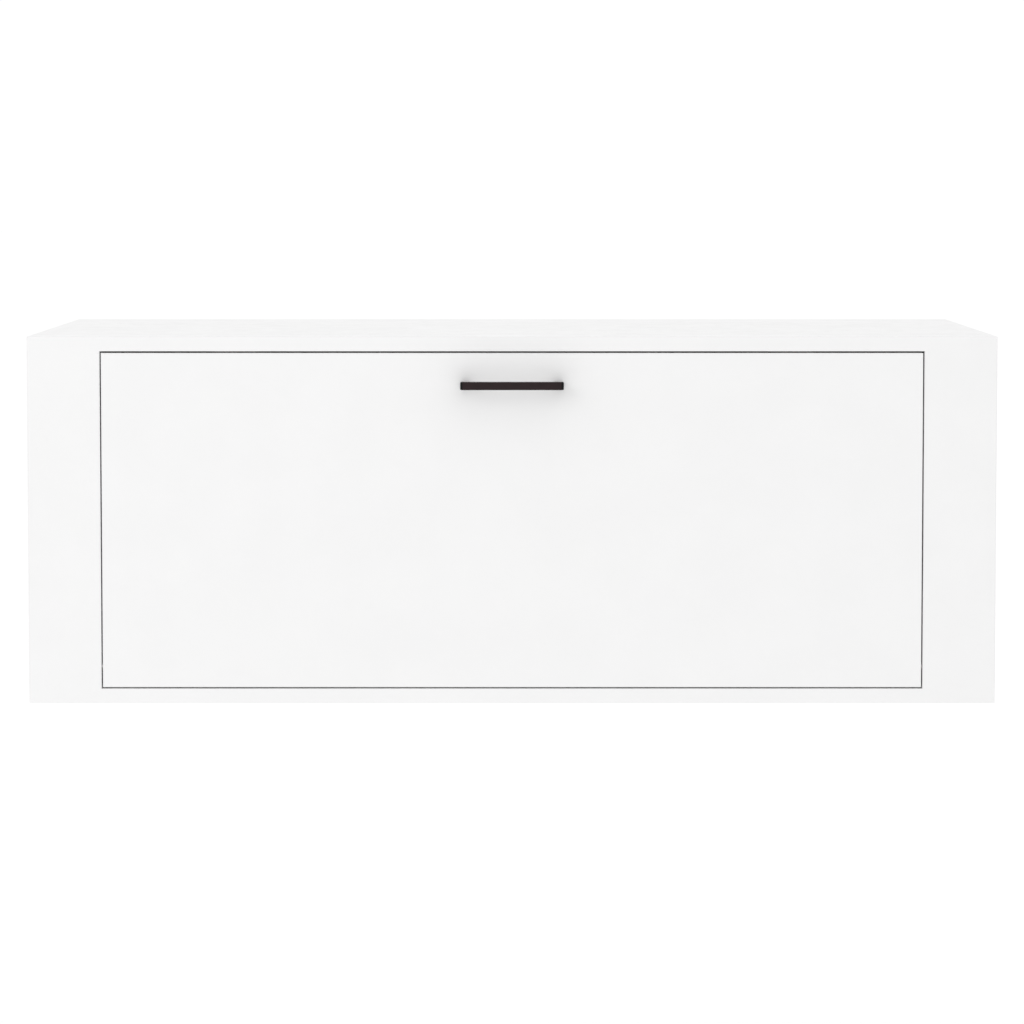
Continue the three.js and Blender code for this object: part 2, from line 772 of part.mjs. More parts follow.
function addBrackets(fallFront) {
  const footBack = flapInner + FIT + BRACKET_SHEET;
  const z = [stayPivotZ - BRACKET_HEIGHT / 2, stayPivotZ + BRACKET_HEIGHT / 2];
  for (const { name, sign } of SIDES) {
    const footX = outward(sign, lugOuter - BRACKET_LENGTH, lugOuter);
    const lugX = outward(sign, lugInner, lugOuter);
    const foot = block(footX, [flapInner + FIT, footBack], z);
    const lug = block(lugX, [flapInner + FIT, stayPivotY + LUG_LAND], z);
    const rivetHole = turnedAt(
      [sign * (lugInner - OVERCUT), stayPivotY, stayPivotZ],
      away(sign),
      loose([[RIVET_RADIUS, BRACKET_SHEET + 2 * OVERCUT]]),
      PLAIN_SIDES,
    );
    const screws = bracketScrewPlaces(sign);
    const screwHoles = screws.map(([x, , at]) =>
      turnedAt([x, flapInner, at], Y, loose([[SCREW_RADIUS, BRACKET_SHEET + OVERCUT]]), SMALL_SIDES),
    );
    const geometry = shaped(foot, [lug], [rivetHole, ...screwHoles]);
    add(fallFront, `${name}_stay_bracket`, geometry, finishes.steel);
    screws.forEach(([x, , at], index) => {
      const head = [x, footBack, at];
      addScrew(fallFront, `${name}_bracket_screw_${index + 1}`, head, Y.clone().negate());
    });
    addTurned(
      fallFront,
      `${name}_stay_rivet`,
      [sign * (armOuter + FIT + RIVET_HEAD_HEIGHT), stayPivotY, stayPivotZ],
      away(-sign),
      [
        [RIVET_HEAD_RADIUS, RIVET_HEAD_HEIGHT],
        [RIVET_RADIUS, ARM_THICKNESS + LUG_GAP + BRACKET_SHEET + 2 * FIT],
        [RIVET_HEAD_RADIUS, RIVET_HEAD_HEIGHT],
      ],
      PLAIN_SIDES,
      finishes.steel,
    );
  }
}

/** A slot or bar outline with round ends, between two centres on its long axis. */
function roundEnded(Kind, from, to, radius) {
  const outline = new Kind();
  outline.absarc(from, 0, radius, Math.PI / 2, (3 * Math.PI) / 2, false);
  outline.absarc(to, 0, radius, -Math.PI / 2, Math.PI / 2, false);
  outline.closePath();
  return outline;
}

function addStayArm(stay, name) {
  const slotEnd = openReach + SLOT_PLAY;
  const outline = roundEnded(THREE.Shape, 0, slotEnd + ARM_END_LAND, ARM_HALF_WIDTH);
  const eye = new THREE.Path();
  eye.absarc(0, 0, RIVET_RADIUS + BORE_FIT, 0, 2 * Math.PI, false);
  outline.holes = [
    eye,
    roundEnded(THREE.Path, closedReach - SLOT_PLAY, slotEnd, STUD_RADIUS + BORE_FIT),
  ];
  const bar = new THREE.ExtrudeGeometry(outline, {
    depth: ARM_THICKNESS,
    bevelEnabled: false,
    curveSegments: 2 * CORNER_STEPS,
  });
  bar.applyMatrix4(new THREE.Matrix4().makeBasis(Y, Z, X));
  bar.translate(-ARM_THICKNESS / 2, 0, 0);
  add(stay, name, bar, finishes.steel);
}

const desk = new THREE.Group();
desk.name = "desk";
desk.position.set(0, -DEPTH, -upperRailZ);

const cabinet = new THREE.Group();
cabinet.name = "cabinet";
desk.add(cabinet);
addTopAndBottom(cabinet);
addUprights(cabinet);
addBack(cabinet);
addInside(cabinet);
addCamFittings(cabinet);
addPivotPins(cabinet);
addStayPlates(cabinet);
addCatches(cabinet);

const fallFront = new THREE.Group();
fallFront.name = "fall_front_assembly";
desk.add(fallFront);
addFlap(fallFront);
addPull(fallFront);
addBushes(fallFront);
addStrikes(fallFront);
addBrackets(fallFront);

for (const { name, sign } of SIDES) {
  const stay = new THREE.Group();
  stay.name = `${name}_stay`;
  stay.position.set((sign * (armInner + armOuter)) / 2, stayPivotY, stayPivotZ);
  stay.rotation.x = -armSlope;
  desk.add(stay);
  addStayArm(stay, `${name}_stay_arm`);
}

const part = new THREE.Group();
part.name = "secretary_desk";
part.add(desk);

export default part;
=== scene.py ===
"""The looks of a wall-hung secretary desk with a fall front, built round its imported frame.

Everything is in metres and in the frame's own axes: X runs to the right, Y to the wall and Z up,
with the wall plane at Y = 0. Places come from the boxes of the frame's nodes.
"""

import logging
import math
from abc import ABC, abstractmethod
from dataclasses import dataclass, field
from enum import Enum
from typing import Any

import bmesh
import bpy
import numpy as np
from mathutils import Matrix, Vector


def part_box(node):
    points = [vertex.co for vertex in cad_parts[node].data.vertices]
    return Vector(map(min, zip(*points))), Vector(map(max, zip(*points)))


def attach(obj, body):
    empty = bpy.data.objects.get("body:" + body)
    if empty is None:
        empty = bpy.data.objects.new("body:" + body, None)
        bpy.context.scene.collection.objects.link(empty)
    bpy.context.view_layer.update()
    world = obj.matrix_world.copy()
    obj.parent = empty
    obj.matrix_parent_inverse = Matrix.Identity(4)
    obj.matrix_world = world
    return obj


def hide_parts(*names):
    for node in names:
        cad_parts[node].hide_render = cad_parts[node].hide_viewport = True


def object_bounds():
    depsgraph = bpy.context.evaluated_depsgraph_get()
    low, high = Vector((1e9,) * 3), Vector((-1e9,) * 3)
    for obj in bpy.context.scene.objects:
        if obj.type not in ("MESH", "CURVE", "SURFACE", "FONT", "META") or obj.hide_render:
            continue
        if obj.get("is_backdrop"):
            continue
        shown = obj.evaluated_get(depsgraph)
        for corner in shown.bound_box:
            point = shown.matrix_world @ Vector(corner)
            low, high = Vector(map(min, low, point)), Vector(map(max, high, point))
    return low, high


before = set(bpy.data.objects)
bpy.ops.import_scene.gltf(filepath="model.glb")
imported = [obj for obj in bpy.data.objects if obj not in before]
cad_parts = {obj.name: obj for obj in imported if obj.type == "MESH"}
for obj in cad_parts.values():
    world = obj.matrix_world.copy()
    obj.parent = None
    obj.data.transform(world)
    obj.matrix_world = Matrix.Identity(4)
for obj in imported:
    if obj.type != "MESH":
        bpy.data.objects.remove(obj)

LOG = logging.getLogger("secretary_desk")

Array = np.ndarray
Mesh = bpy.types.Mesh
Socket = bpy.types.NodeSocket
Colour = tuple[float, float, float]
Triple = tuple[float, float, float]  # one number for each axis
Range = tuple[float, float]
Steps = tuple[tuple[float, float], ...]  # radius and length of each cylinder of a turned piece

MM = 0.001
MERGE = 1e-6  # points closer than this are one point
CLEARANCE = 0.3 * MM  # gap that the frame keeps between faces that touch
ON_PLANE = 1e-5  # how near a point lies to a plane that it is on
FULL_TURN = 2 * math.pi
QUARTER_TURN = math.pi / 2
SHARP_ANGLE = math.radians(38)  # edges that turn further than this stay sharp
FLAT_ANGLE = math.radians(0.4)  # faces that meet at less than this are one flat face
SIDE_SHARE = 0.45  # the most of a side that a rounded corner takes
ROUND_PROFILE = 0.5  # the bevel tool's shape for a round edge
FULL_WEIGHT = 100  # lets the large faces decide how a piece is shaded
NEARLY_ALONG = 0.9  # cosine above which a direction counts as lying along an axis
SQUARE_ON = 0.98  # cosine below which a face belongs to a rounded edge
ROUND_SIDES = 48  # points round a turned piece
SMALL_SIDES = 32  # and round a thin one
UNIT = (0.0, 1.0)
RIGHT = np.array([1.0, 0.0, 0.0])
FORWARD = np.array([0.0, -1.0, 0.0])
UP = np.array([0.0, 0.0, 1.0])


# ---- Names ----


class Body(Enum):
    """The frame's bodies."""

    CABINET = "cabinet"
    FLAP = "fall_front_body"
    LEFT_STAY = "left_stay"
    RIGHT_STAY = "right_stay"


class Slot(Enum):
    """The record's material slots."""

    BOARD = "white_board"
    SHEET = "white_hardboard"
    STEEL = "plated_steel"
    ZINC = "zinc_alloy"
    LACQUER = "black_lacquer"
    NYLON = "white_nylon"
    FERRITE = "ferrite"


class Side(Enum):
    """A side of the desk, with its sign along X."""

    LEFT = -1
    RIGHT = 1

    @property
    def word(self) -> str:
        """The side's word in node names."""
        return self.name.lower()

    @property
    def outward(self) -> Array:
        """The direction from the middle to this side."""
        return np.array([self.value, 0.0, 0.0])

    @property
    def stay(self) -> Body:
        """The body of this side's stay arm."""
        return Body.LEFT_STAY if self is Side.LEFT else Body.RIGHT_STAY


class Axis(Enum):
    """An axis of the frame, with its place in a point."""

    X = 0
    Y = 1
    Z = 2


# ---- Places ----


@dataclass(frozen=True)
class Box:
    """The box of a CAD node at rest."""

    low: Array
    high: Array

    @classmethod
    def of(cls, node: str) -> "Box":
        """The box of a node, by name."""
        low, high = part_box(node)
        return cls(np.array(low), np.array(high))

    @property
    def centre(self) -> Array:
        """The middle of the box."""
        return (self.low + self.high) / 2

    @property
    def half(self) -> Array:
        """Half of the box's size along each axis."""
        return (self.high - self.low) / 2

    def end(self, direction: Array) -> Array:
        """The middle of the face that a direction along an axis points to."""
        return self.centre + direction * self.half

    def resized(self, low: Array, high: Array) -> "Box":
        """A box with its two corners moved by these amounts."""
        return Box(self.low + low, self.high + high)


# ---- Surfaces ----


@dataclass
class Shell:
    """Points and quads gathered from grids, which become one closed mesh.

    Each point carries an edge weight: 1 in the middle of a rounded edge and 0 on a face.
    """

    points: list[Array] = field(default_factory=list)
    edges: list[Array] = field(default_factory=list)
    quads: list[Array] = field(default_factory=list)
    count: int = 0

    def add(self, points: Array, edge: Array, wrap_rows: bool = False) -> "Shell":
        """Adds a grid whose columns close on themselves.

        Args:
            points: the grid's points, as rows by columns by 3.
            edge: the points' edge weights, as rows by columns or anything that spreads to that.
            wrap_rows: whether the last row joins the first one.

        Returns:
            The shell itself.
        """
        rows, columns = points.shape[:2]
        index = np.arange(rows * columns).reshape(rows, columns) + self.count
        index = np.concatenate([index, index[:, :1]], axis=1)
        if wrap_rows:
            index = np.concatenate([index, index[:1]], axis=0)
        corners = (index[:-1, :-1], index[1:, :-1], index[1:, 1:], index[:-1, 1:])
        self.quads.append(np.stack(corners, axis=-1).reshape(-1, 4))
        self.points.append(points.reshape(-1, 3))
        self.edges.append(np.broadcast_to(edge, (rows, columns)).reshape(-1))
        self.count += rows * columns
        return self

    def mesh(self, name: str) -> Mesh:
        """The shell as a mesh with its seams and poles closed and its faces turned outwards.

        Args:
            name: the mesh's name.

        Returns:
            The new mesh, smooth, with the edge weights in its attribute "edge".
        """
        points = np.concatenate(self.points)
        quads = np.concatenate(self.quads)
        mesh = bpy.data.meshes.new(name)
        mesh.vertices.add(len(points))
        mesh.vertices.foreach_set("co", points.astype(np.float32).ravel())
        mesh.loops.add(quads.size)
        mesh.loops.foreach_set("vertex_index", quads.astype(np.int32).ravel())
        mesh.polygons.add(len(quads))
        mesh.polygons.foreach_set("loop_start", np.arange(0, quads.size, 4, dtype=np.int32))
        mesh.update(calc_edges=True)
        store(mesh, "edge", np.concatenate(self.edges))
        weld(mesh)
        shade(mesh)
        return mesh


def store(mesh: Mesh, name: str, values: Array, domain: str = "POINT") -> None:
    """Puts numbers or vectors into a mesh attribute.

    Args:
        mesh: the mesh.
        name: the attribute's name.
        values: one number or one vector for each point or face.
        domain: POINT or FACE.
    """
    is_vector = values.ndim > 1
    kind = "FLOAT_VECTOR" if is_vector else "FLOAT"
    attribute = mesh.attributes.new(name, kind, domain)
    attribute.data.foreach_set("vector" if is_vector else "value", values.astype(np.float32).ravel())


def weld(mesh: Mesh) -> None:
    """Merges the points of a mesh that lie together and turns its faces outwards."""
    work = bmesh.new()
    work.from_mesh(mesh)
    bmesh.ops.remove_doubles(work, verts=work.verts[:], dist=MERGE)
    bmesh.ops.recalc_face_normals(work, faces=work.faces[:])
    work.to_mesh(mesh)
    work.free()


def vectors_of(items: Any, name: str) -> Array:
    """A vector that each point or face of a mesh has, as count by 3."""
    flat = np.zeros(len(items) * 3, np.float32)
    items.foreach_get(name, flat)
    return flat.reshape(-1, 3).astype(float)


def shade(mesh: Mesh) -> None:
    """Makes a mesh smooth, with edges that turn further than SHARP_ANGLE left sharp."""
    mesh.shade_smooth()
    mesh.set_sharp_from_angle(angle=SHARP_ANGLE)


def eased(outline: Array, radius: float, steps: int = 5) -> tuple[Array, Array]:
    """Rounds the corners of an open line of points, but not its two ends.

    A corner p turns into the curve (1-t)^2 a + 2 t (1-t) p + t^2 b, where a and b lie back and
    forth along its two sides at the radius, or at SIDE_SHARE of a side where that is less.

    Args:
        outline: the line's points, as count by 2.
        radius: the distance from a corner to each end of its curve.
        steps: the points on each curve.

    Returns:
        The new points, and for each its edge weight 4 t (1-t).
    """
    back = outline[:-2] - outline[1:-1]
    forth = outline[2:] - outline[1:-1]
    back_length = np.linalg.norm(back, axis=1, keepdims=True)
    forth_length = np.linalg.norm(forth, axis=1, keepdims=True)
    reach = np.minimum(radius, SIDE_SHARE * np.minimum(back_length, forth_length))
    corner = outline[1:-1, None]
    start = corner + (back / back_length * reach)[:, None]
    finish = corner + (forth / forth_length * reach)[:, None]
    t = np.linspace(0, 1, steps)[None, :, None]
    curve = (1 - t) ** 2 * start + 2 * t * (1 - t) * corner + t**2 * finish
    points = np.concatenate([outline[:1], curve.reshape(-1, 2), outline[-1:]])
    weight = np.broadcast_to(4 * t * (1 - t), curve.shape[:2] + (1,)).reshape(-1)
    return points, np.concatenate([[0.0], weight, [0.0]])


def square_to(axis: Array) -> tuple[Array, Array]:
    """Two directions square to an axis and to each other."""
    helper = UP if abs(axis[2]) < NEARLY_ALONG else RIGHT
    across = np.cross(helper, axis)
    across /= np.linalg.norm(across)
    return across, np.cross(axis, across)


def turned_grid(profile: Array, start: Array, axis: Array, sides: int) -> Array:
    """A profile turned about an axis.

    The point at profile step i and angle a is start + h_i axis + r_i (cos a u + sin a v), where u
    and v are square to the axis.

    Args:
        profile: the radius r and height h of each step, as count by 2, or as count by sides by 2.
        start: the point on the axis at height 0.
        axis: the axis' direction.
        sides: the number of angles.

    Returns:
        The points, as count by sides by 3.
    """
    angle = np.arange(sides) * FULL_TURN / sides
    across, up = square_to(axis)
    around = np.cos(angle)[:, None] * across + np.sin(angle)[:, None] * up
    steps = profile if profile.ndim > 2 else profile[:, None]
    return start + steps[..., 1:] * axis + steps[..., :1] * around


def turned(
    shell: Shell, steps: Steps, place: tuple[Array, Array], arris: float, sides: int = ROUND_SIDES
) -> Shell:
    """Adds a solid turned piece made of cylinders one after another.

    Args:
        shell: the shell that it is added to.
        steps: the radius and length of each cylinder.
        place: the middle of the first cylinder's outer face, and the direction that they follow.
        arris: the size of the rounding of its edges.
        sides: the number of points round it.

    Returns:
        The shell.
    """
    radii, lengths = np.array(steps).T
    ends = np.cumsum(lengths)
    radius = np.concatenate([[0.0], np.repeat(radii, 2), [0.0]])
    height = np.concatenate([[0.0, 0.0], np.repeat(ends, 2)])
    profile, edge = eased(np.stack([radius, height], axis=-1), arris)
    return shell.add(turned_grid(profile, *place, sides), edge[:, None])


def section_corners(steps: int) -> tuple[Array, Array, Array]:
    """The parts of a rounded rectangle's outline.

    Returns:
        For each point the signs of its corner, its direction from that corner's centre, and its
        edge weight sin 2a, where a is its angle within the corner.
    """
    within = np.linspace(0, QUARTER_TURN, steps)
    first = np.arange(4) * QUARTER_TURN
    angle = (first[:, None] + within).ravel()
    middle = np.repeat(first + QUARTER_TURN / 2, steps)
    signs = np.sign(np.stack([np.cos(middle), np.sin(middle)], axis=-1))
    directions = np.stack([np.cos(angle), np.sin(angle)], axis=-1)
    return signs, directions, np.tile(np.sin(2 * within), 4)


def rounded_block(
    shell: Shell, box: Box, axis: Axis, corner: float, arris: float, steps: int = 5
) -> Shell:
    """Adds a box with all its edges rounded.

    Its cross-section is a rounded rectangle, carried along the axis. At angle a from each end
    the ring stands back from the end by arris (1 - sin a) and inwards by arris (1 - cos a).

    Args:
        shell: the shell that it is added to.
        box: its limits.
        axis: the axis that the section is carried along.
        corner: the radius of the section's corners, no less than the arris.
        arris: the radius of the edges round its two ends.
        steps: the points on each rounding.

    Returns:
        The shell.
    """
    k = axis.value
    i, j = (k + 1) % 3, (k + 2) % 3
    signs, directions, corner_edge = section_corners(steps)
    rising = np.linspace(QUARTER_TURN, 0, steps)
    setback = arris * (1 - np.sin(rising))
    along = np.concatenate([setback - box.half[k], box.half[k] - setback[::-1]])
    a = np.concatenate([rising, rising[::-1]])
    inset = arris * (1 - np.cos(a))
    ring_edge = np.sin(2 * a)
    half = box.half[[i, j]]
    section = signs * (half - corner) + (corner - inset)[:, None, None] * directions
    points = np.zeros(section.shape[:2] + (3,))
    points[..., i] = section[..., 0]
    points[..., j] = section[..., 1]
    points[..., k] = along[:, None]
    poles = np.zeros((2,) + points.shape[1:])
    poles[..., k] = np.array([-box.half[k], box.half[k]])[:, None]
    points = np.concatenate([poles[:1], points, poles[1:]]) + box.centre
    edge = np.maximum(np.concatenate([[0], ring_edge, [0]])[:, None], corner_edge)
    edge[[0, -1]] = 0
    return shell.add(points, edge)


def flat_part(outlines: list[Array], thickness: float, arris: float, place: Matrix) -> Mesh:
    """A flat pressed part with holes, its arrises rounded.

    Args:
        outlines: the outer outline anticlockwise and then the holes clockwise, each count by 2.
        thickness: the part's thickness.
        arris: the radius of its arrises.
        place: where it goes, from a part lying in the XY plane.

    Returns:
        The new mesh in its place, with its edge weights.
    """
    curve = bpy.data.curves.new("blank", "CURVE")
    curve.dimensions = "2D"
    curve.fill_mode = "BOTH"
    curve.extrude = thickness / 2 - arris
    curve.bevel_depth = arris
    curve.bevel_resolution = 2
    curve.offset = -arris
    for outline in outlines:
        spline = curve.splines.new("POLY")
        spline.points.add(len(outline) - 1)
        homogeneous = np.pad(outline, ((0, 0), (0, 2)))
        homogeneous[:, -1] = 1
        spline.points.foreach_set("co", homogeneous.astype(np.float32).ravel())
        spline.use_cyclic_u = True
    blank = bpy.data.objects.new("blank", curve)
    mesh = bpy.data.meshes.new_from_object(blank)
    bpy.data.objects.remove(blank)
    bpy.data.curves.remove(curve)
    mesh.materials.clear()
    weld(mesh)
    points = vectors_of(mesh.vertices, "co")
    depth = thickness / 2 - np.abs(points[:, 2])
    store(mesh, "edge", ((depth > ON_PLANE) & (depth < arris - ON_PLANE)).astype(float))
    mesh.transform(place)
    shade(mesh)
    return mesh


def round_ended(start: float, finish: float, radius: float, steps: int = 24) -> Array:
    """A bar or slot outline with round ends, anticlockwise.

    Args:
        start: the first end's centre, along X.
        finish: the second end's centre, along X.
        radius: half of the width.
        steps: the points on each end.

    Returns:
        The outline's points, as count by 2.
    """
    turn = np.linspace(-QUARTER_TURN, QUARTER_TURN, steps)
    first = np.concatenate([turn, turn + math.pi])
    centre = np.repeat([finish, start], steps)
    return np.stack([centre + radius * np.cos(first), radius * np.sin(first)], axis=-1)


def eased_copy(node: str, easing: float, segments: int = 3, butted: Axis | None = None) -> Mesh:
    """A merged copy of a CAD node's mesh with the edges of its outer box rounded.

    Args:
        node: the CAD node.
        easing: how far each side of an edge is cut back.
        segments: the number of faces across each rounding.
        butted: an axis along which both ends butt flush against other boards. There the edges
            stay square, and the ends close the clearance and the other boards' rounding.

    Returns:
        The new mesh, with its edge weights.
    """
    box = Box.of(node)
    mesh = bpy.data.meshes.new(node)
    work = bmesh.new()
    work.from_mesh(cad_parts[node].data)
    bmesh.ops.remove_doubles(work, verts=work.verts[:], dist=MERGE)
    bmesh.ops.dissolve_limit(work, angle_limit=FLAT_ANGLE, verts=work.verts[:], edges=work.edges[:])
    work.verts.index_update()
    work.edges.ensure_lookup_table()
    points = np.array([vertex.co[:] for vertex in work.verts])
    ends = np.array([[vertex.index for vertex in edge.verts] for edge in work.edges])
    at_high = np.abs(points - box.high) < ON_PLANE
    at_low = np.abs(points - box.low) < ON_PLANE
    limit = at_high.astype(int) - at_low.astype(int)
    shared = (limit[ends[:, 0]] == limit[ends[:, 1]]) & (limit[ends[:, 0]] != 0)
    if butted is not None:
        shared[:, butted.value] = False
    outer = [work.edges[number] for number in np.flatnonzero(shared.sum(axis=1) >= 2)]
    bmesh.ops.bevel(
        work,
        geom=outer,
        offset=easing,
        offset_type="OFFSET",
        segments=segments,
        profile=ROUND_PROFILE,
        affect="EDGES",
        clamp_overlap=True,
        loop_slide=True,
    )
    work.to_mesh(mesh)
    work.free()
    points = vectors_of(mesh.vertices, "co")
    from_plane = box.half - np.abs(points - box.centre)
    nearest = np.sort(from_plane, axis=1)
    is_arris = (nearest[:, 0] > ON_PLANE) & (nearest[:, 1] < easing)
    store(mesh, "edge", is_arris.astype(float))
    if butted is not None:
        k = butted.value
        at_end = from_plane[:, k] < ON_PLANE
        points[:, k] += at_end * np.sign(points[:, k] - box.centre[k]) * (CLEARANCE + easing)
        mesh.vertices.foreach_set("co", points.astype(np.float32).ravel())
    shade(mesh)
    return mesh


def mark_faces(mesh: Mesh, box: Box, raw_rear: bool) -> None:
    """Marks what the finish of a faced board needs to know.

    The attributes are "middle" and "half", the board's box at every point, "broad", 1 on its two
    broad faces, and "raw", 1 where the board's core shows.

    Args:
        mesh: the board's mesh.
        box: the board's limits.
        raw_rear: whether the edge next to the wall is left without a band.
    """
    count = len(mesh.vertices)
    store(mesh, "middle", np.tile(box.centre, (count, 1)))
    store(mesh, "half", np.tile(box.half, (count, 1)))
    normals = vectors_of(mesh.polygons, "normal")
    centres = vectors_of(mesh.polygons, "center")
    thin = int(np.argmin(box.half))
    broad = np.abs(normals[:, thin]) > NEARLY_ALONG
    inside = (box.half - np.abs(centres - box.centre)).min(axis=1) > 2 * ON_PLANE
    is_arris = np.abs(normals).max(axis=1) < SQUARE_ON
    raw = inside & ~is_arris
    if raw_rear:
        raw |= normals[:, Axis.Y.value] > NEARLY_ALONG
    store(mesh, "broad", broad.astype(float), "FACE")
    store(mesh, "raw", raw.astype(float), "FACE")


# ---- Node sheets ----


class NodeSheet:
    """A node tree, with short calls that add and join its nodes."""

    def __init__(self, tree: bpy.types.NodeTree) -> None:
        """Takes the tree that nodes go into."""
        self.tree = tree

    def add(self, kind: str, inputs: dict | None = None, **settings: Any) -> bpy.types.Node:
        """Adds a node.

        Args:
            kind: the node's type, without "ShaderNode" unless it starts with "Node".
            inputs: a value or an output socket for each input socket, by name or number.
            settings: the node's own properties.

        Returns:
            The node.
        """
        node = self.tree.nodes.new(kind if kind.startswith("Node") else f"ShaderNode{kind}")
        for name, value in settings.items():
            setattr(node, name, value)
        for key, value in (inputs or {}).items():
            self.feed(node.inputs[key], value)
        return node

    def feed(self, socket: Socket, value: Any) -> None:
        """Links an output socket to an input socket, or sets the input to a value."""
        if isinstance(value, Socket):
            self.tree.links.new(value, socket)
        else:
            socket.default_value = value

    def maths(self, operation: str, first: Any, second: Any = 0.0) -> Socket:
        """The result of a Math node on two values."""
        return self.add("Math", {0: first, 1: second}, operation=operation).outputs[0]

    def vector(self, operation: str, first: Any, second: Any = (0.0, 0.0, 0.0)) -> Socket:
        """The vector result of a Vector Math node on two vectors."""
        return self.add("VectorMath", {0: first, 1: second}, operation=operation).outputs[0]

    def remap(self, value: Any, source: Range, target: Range) -> Socket:
        """A value carried smoothly from one stretch of numbers to another and held there."""
        inputs = dict(enumerate((value, *source, *target)))
        return self.add("MapRange", inputs, interpolation_type="SMOOTHSTEP").outputs[0]

    def blend(self, share: Any, first: Any, second: Any) -> Socket:
        """A colour between two colours."""
        inputs = {0: share, 6: opaque(first), 7: opaque(second)}
        return self.add("Mix", inputs, data_type="RGBA").outputs[2]

    def noise(self, place: Any, size: Any, detail: float, roughness: float = 0.5) -> Socket:
        """Noise between 0 and 1, with features of about this size in metres."""
        scale = self.maths("DIVIDE", 1.0, size)
        inputs = {"Vector": place, "Scale": scale, "Detail": detail, "Roughness": roughness}
        return self.add("TexNoise", inputs).outputs[0]

    def place(self) -> Socket:
        """The surface point in the frame's own axes."""
        return self.add("TexCoord").outputs["Object"]

    def attribute(self, name: str, output: str = "Fac") -> Socket:
        """A mesh attribute, as its number or its vector."""
        return self.add("Attribute", attribute_name=name).outputs[output]


def opaque(colour: Any) -> Any:
    """A plain colour with full alpha, or a socket as it is."""
    return (*colour, 1.0) if isinstance(colour, tuple) and len(colour) == 3 else colour


# ---- Shared effects ----


class Effect(ABC):
    """A node group that finishes share, built once and placed with each finish's own values."""

    title: str
    inputs: dict[str, tuple[str, Any]]
    outputs: dict[str, str]

    @classmethod
    def tree(cls) -> bpy.types.NodeTree:
        """The group's node tree, built when it is first asked for."""
        known = bpy.data.node_groups.get(cls.title)
        if known is not None:
            return known
        tree = bpy.data.node_groups.new(cls.title, "ShaderNodeTree")
        for name, (kind, value) in cls.inputs.items():
            socket = tree.interface.new_socket(name, in_out="INPUT", socket_type=f"NodeSocket{kind}")
            if value is not None:
                socket.default_value = value
        for name, kind in cls.outputs.items():
            tree.interface.new_socket(name, in_out="OUTPUT", socket_type=f"NodeSocket{kind}")
        sheet = NodeSheet(tree)
        given = sheet.add("NodeGroupInput").outputs
        sheet.add("NodeGroupOutput", cls.worked_out(sheet, given))
        return tree

    @classmethod
    def placed(cls, sheet: NodeSheet, **inputs: Any) -> Any:
        """Puts the group into a material.

        Args:
            sheet: the material's sheet.
            inputs: a value or socket for each of the group's inputs, with _ for a space.

        Returns:
            The group node's outputs.
        """
        node = sheet.add("Group", node_tree=cls.tree())
        for name, value in inputs.items():
            sheet.feed(node.inputs[name.replace("_", " ")], value)
        return node.outputs

    @classmethod
    @abstractmethod
    def worked_out(cls, sheet: NodeSheet, given: Any) -> dict[str, Socket]:
        """The socket for each output, from the group's inputs."""


class FineTexture(Effect):
    """Grain and slow mottle of a surface, each between 0 and 1 and of its own size."""

    title = "fine_texture"
    inputs = {
        "Vector": ("Vector", None),
        "Grain Size": ("Float", 0.5 * MM),
        "Mottle Size": ("Float", 40 * MM),
    }
    outputs = {"Grain": "Float", "Mottle": "Float"}
    grain_detail = 3.0
    mottle_detail = 4.0
    mottle_contrast = (0.3, 0.7)

    @classmethod
    def worked_out(cls, sheet: NodeSheet, given: Any) -> dict[str, Socket]:
        """Two noises, the second with its contrast raised."""
        fine = sheet.noise(given["Vector"], given["Grain Size"], cls.grain_detail)
        slow = sheet.noise(given["Vector"], given["Mottle Size"], cls.mottle_detail)
        return {"Grain": fine, "Mottle": sheet.remap(slow, cls.mottle_contrast, UNIT)}


class DrawnGrain(Effect):
    """Long parallel streaks, between 0 and 1, as rolling or grinding leaves them."""

    title = "drawn_grain"
    inputs = {
        "Vector": ("Vector", None),
        "Stretch": ("Vector", (1.0, 1.0, 1.0)),
        "Streak Width": ("Float", 0.2 * MM),
    }
    outputs = {"Streaks": "Float"}
    detail = 3.0
    roughness = 0.6

    @classmethod
    def worked_out(cls, sheet: NodeSheet, given: Any) -> dict[str, Socket]:
        """Noise on a place that is squeezed along the streaks."""
        squeezed = sheet.vector("MULTIPLY", given["Vector"], given["Stretch"])
        streaks = sheet.noise(squeezed, given["Streak Width"], cls.detail, cls.roughness)
        return {"Streaks": streaks}


class WearAndDust(Effect):
    """Masks of rubbed edges and of dust on faces that look up."""

    title = "wear_and_dust"
    inputs = {
        "Vector": ("Vector", None),
        "Edge": ("Float", 0.0),
        "Patch Size": ("Float", 15 * MM),
    }
    outputs = {"Wear": "Float", "Dust": "Float"}
    detail = 4.0
    patch_contrast = (0.35, 0.65)
    dusty_slopes = (0.5, 1.0)  # how far up a face looks where dust starts and where it is full

    @classmethod
    def worked_out(cls, sheet: NodeSheet, given: Any) -> dict[str, Socket]:
        """Both masks broken up by one noise."""
        patches = sheet.noise(given["Vector"], given["Patch Size"], cls.detail)
        broken = sheet.remap(patches, cls.patch_contrast, UNIT)
        normal = sheet.add("SeparateXYZ", {0: sheet.add("TexCoord").outputs["Normal"]})
        upward = sheet.remap(normal.outputs["Z"], cls.dusty_slopes, UNIT)
        return {
            "Wear": sheet.maths("MULTIPLY", given["Edge"], broken),
            "Dust": sheet.maths("MULTIPLY", upward, broken),
        }


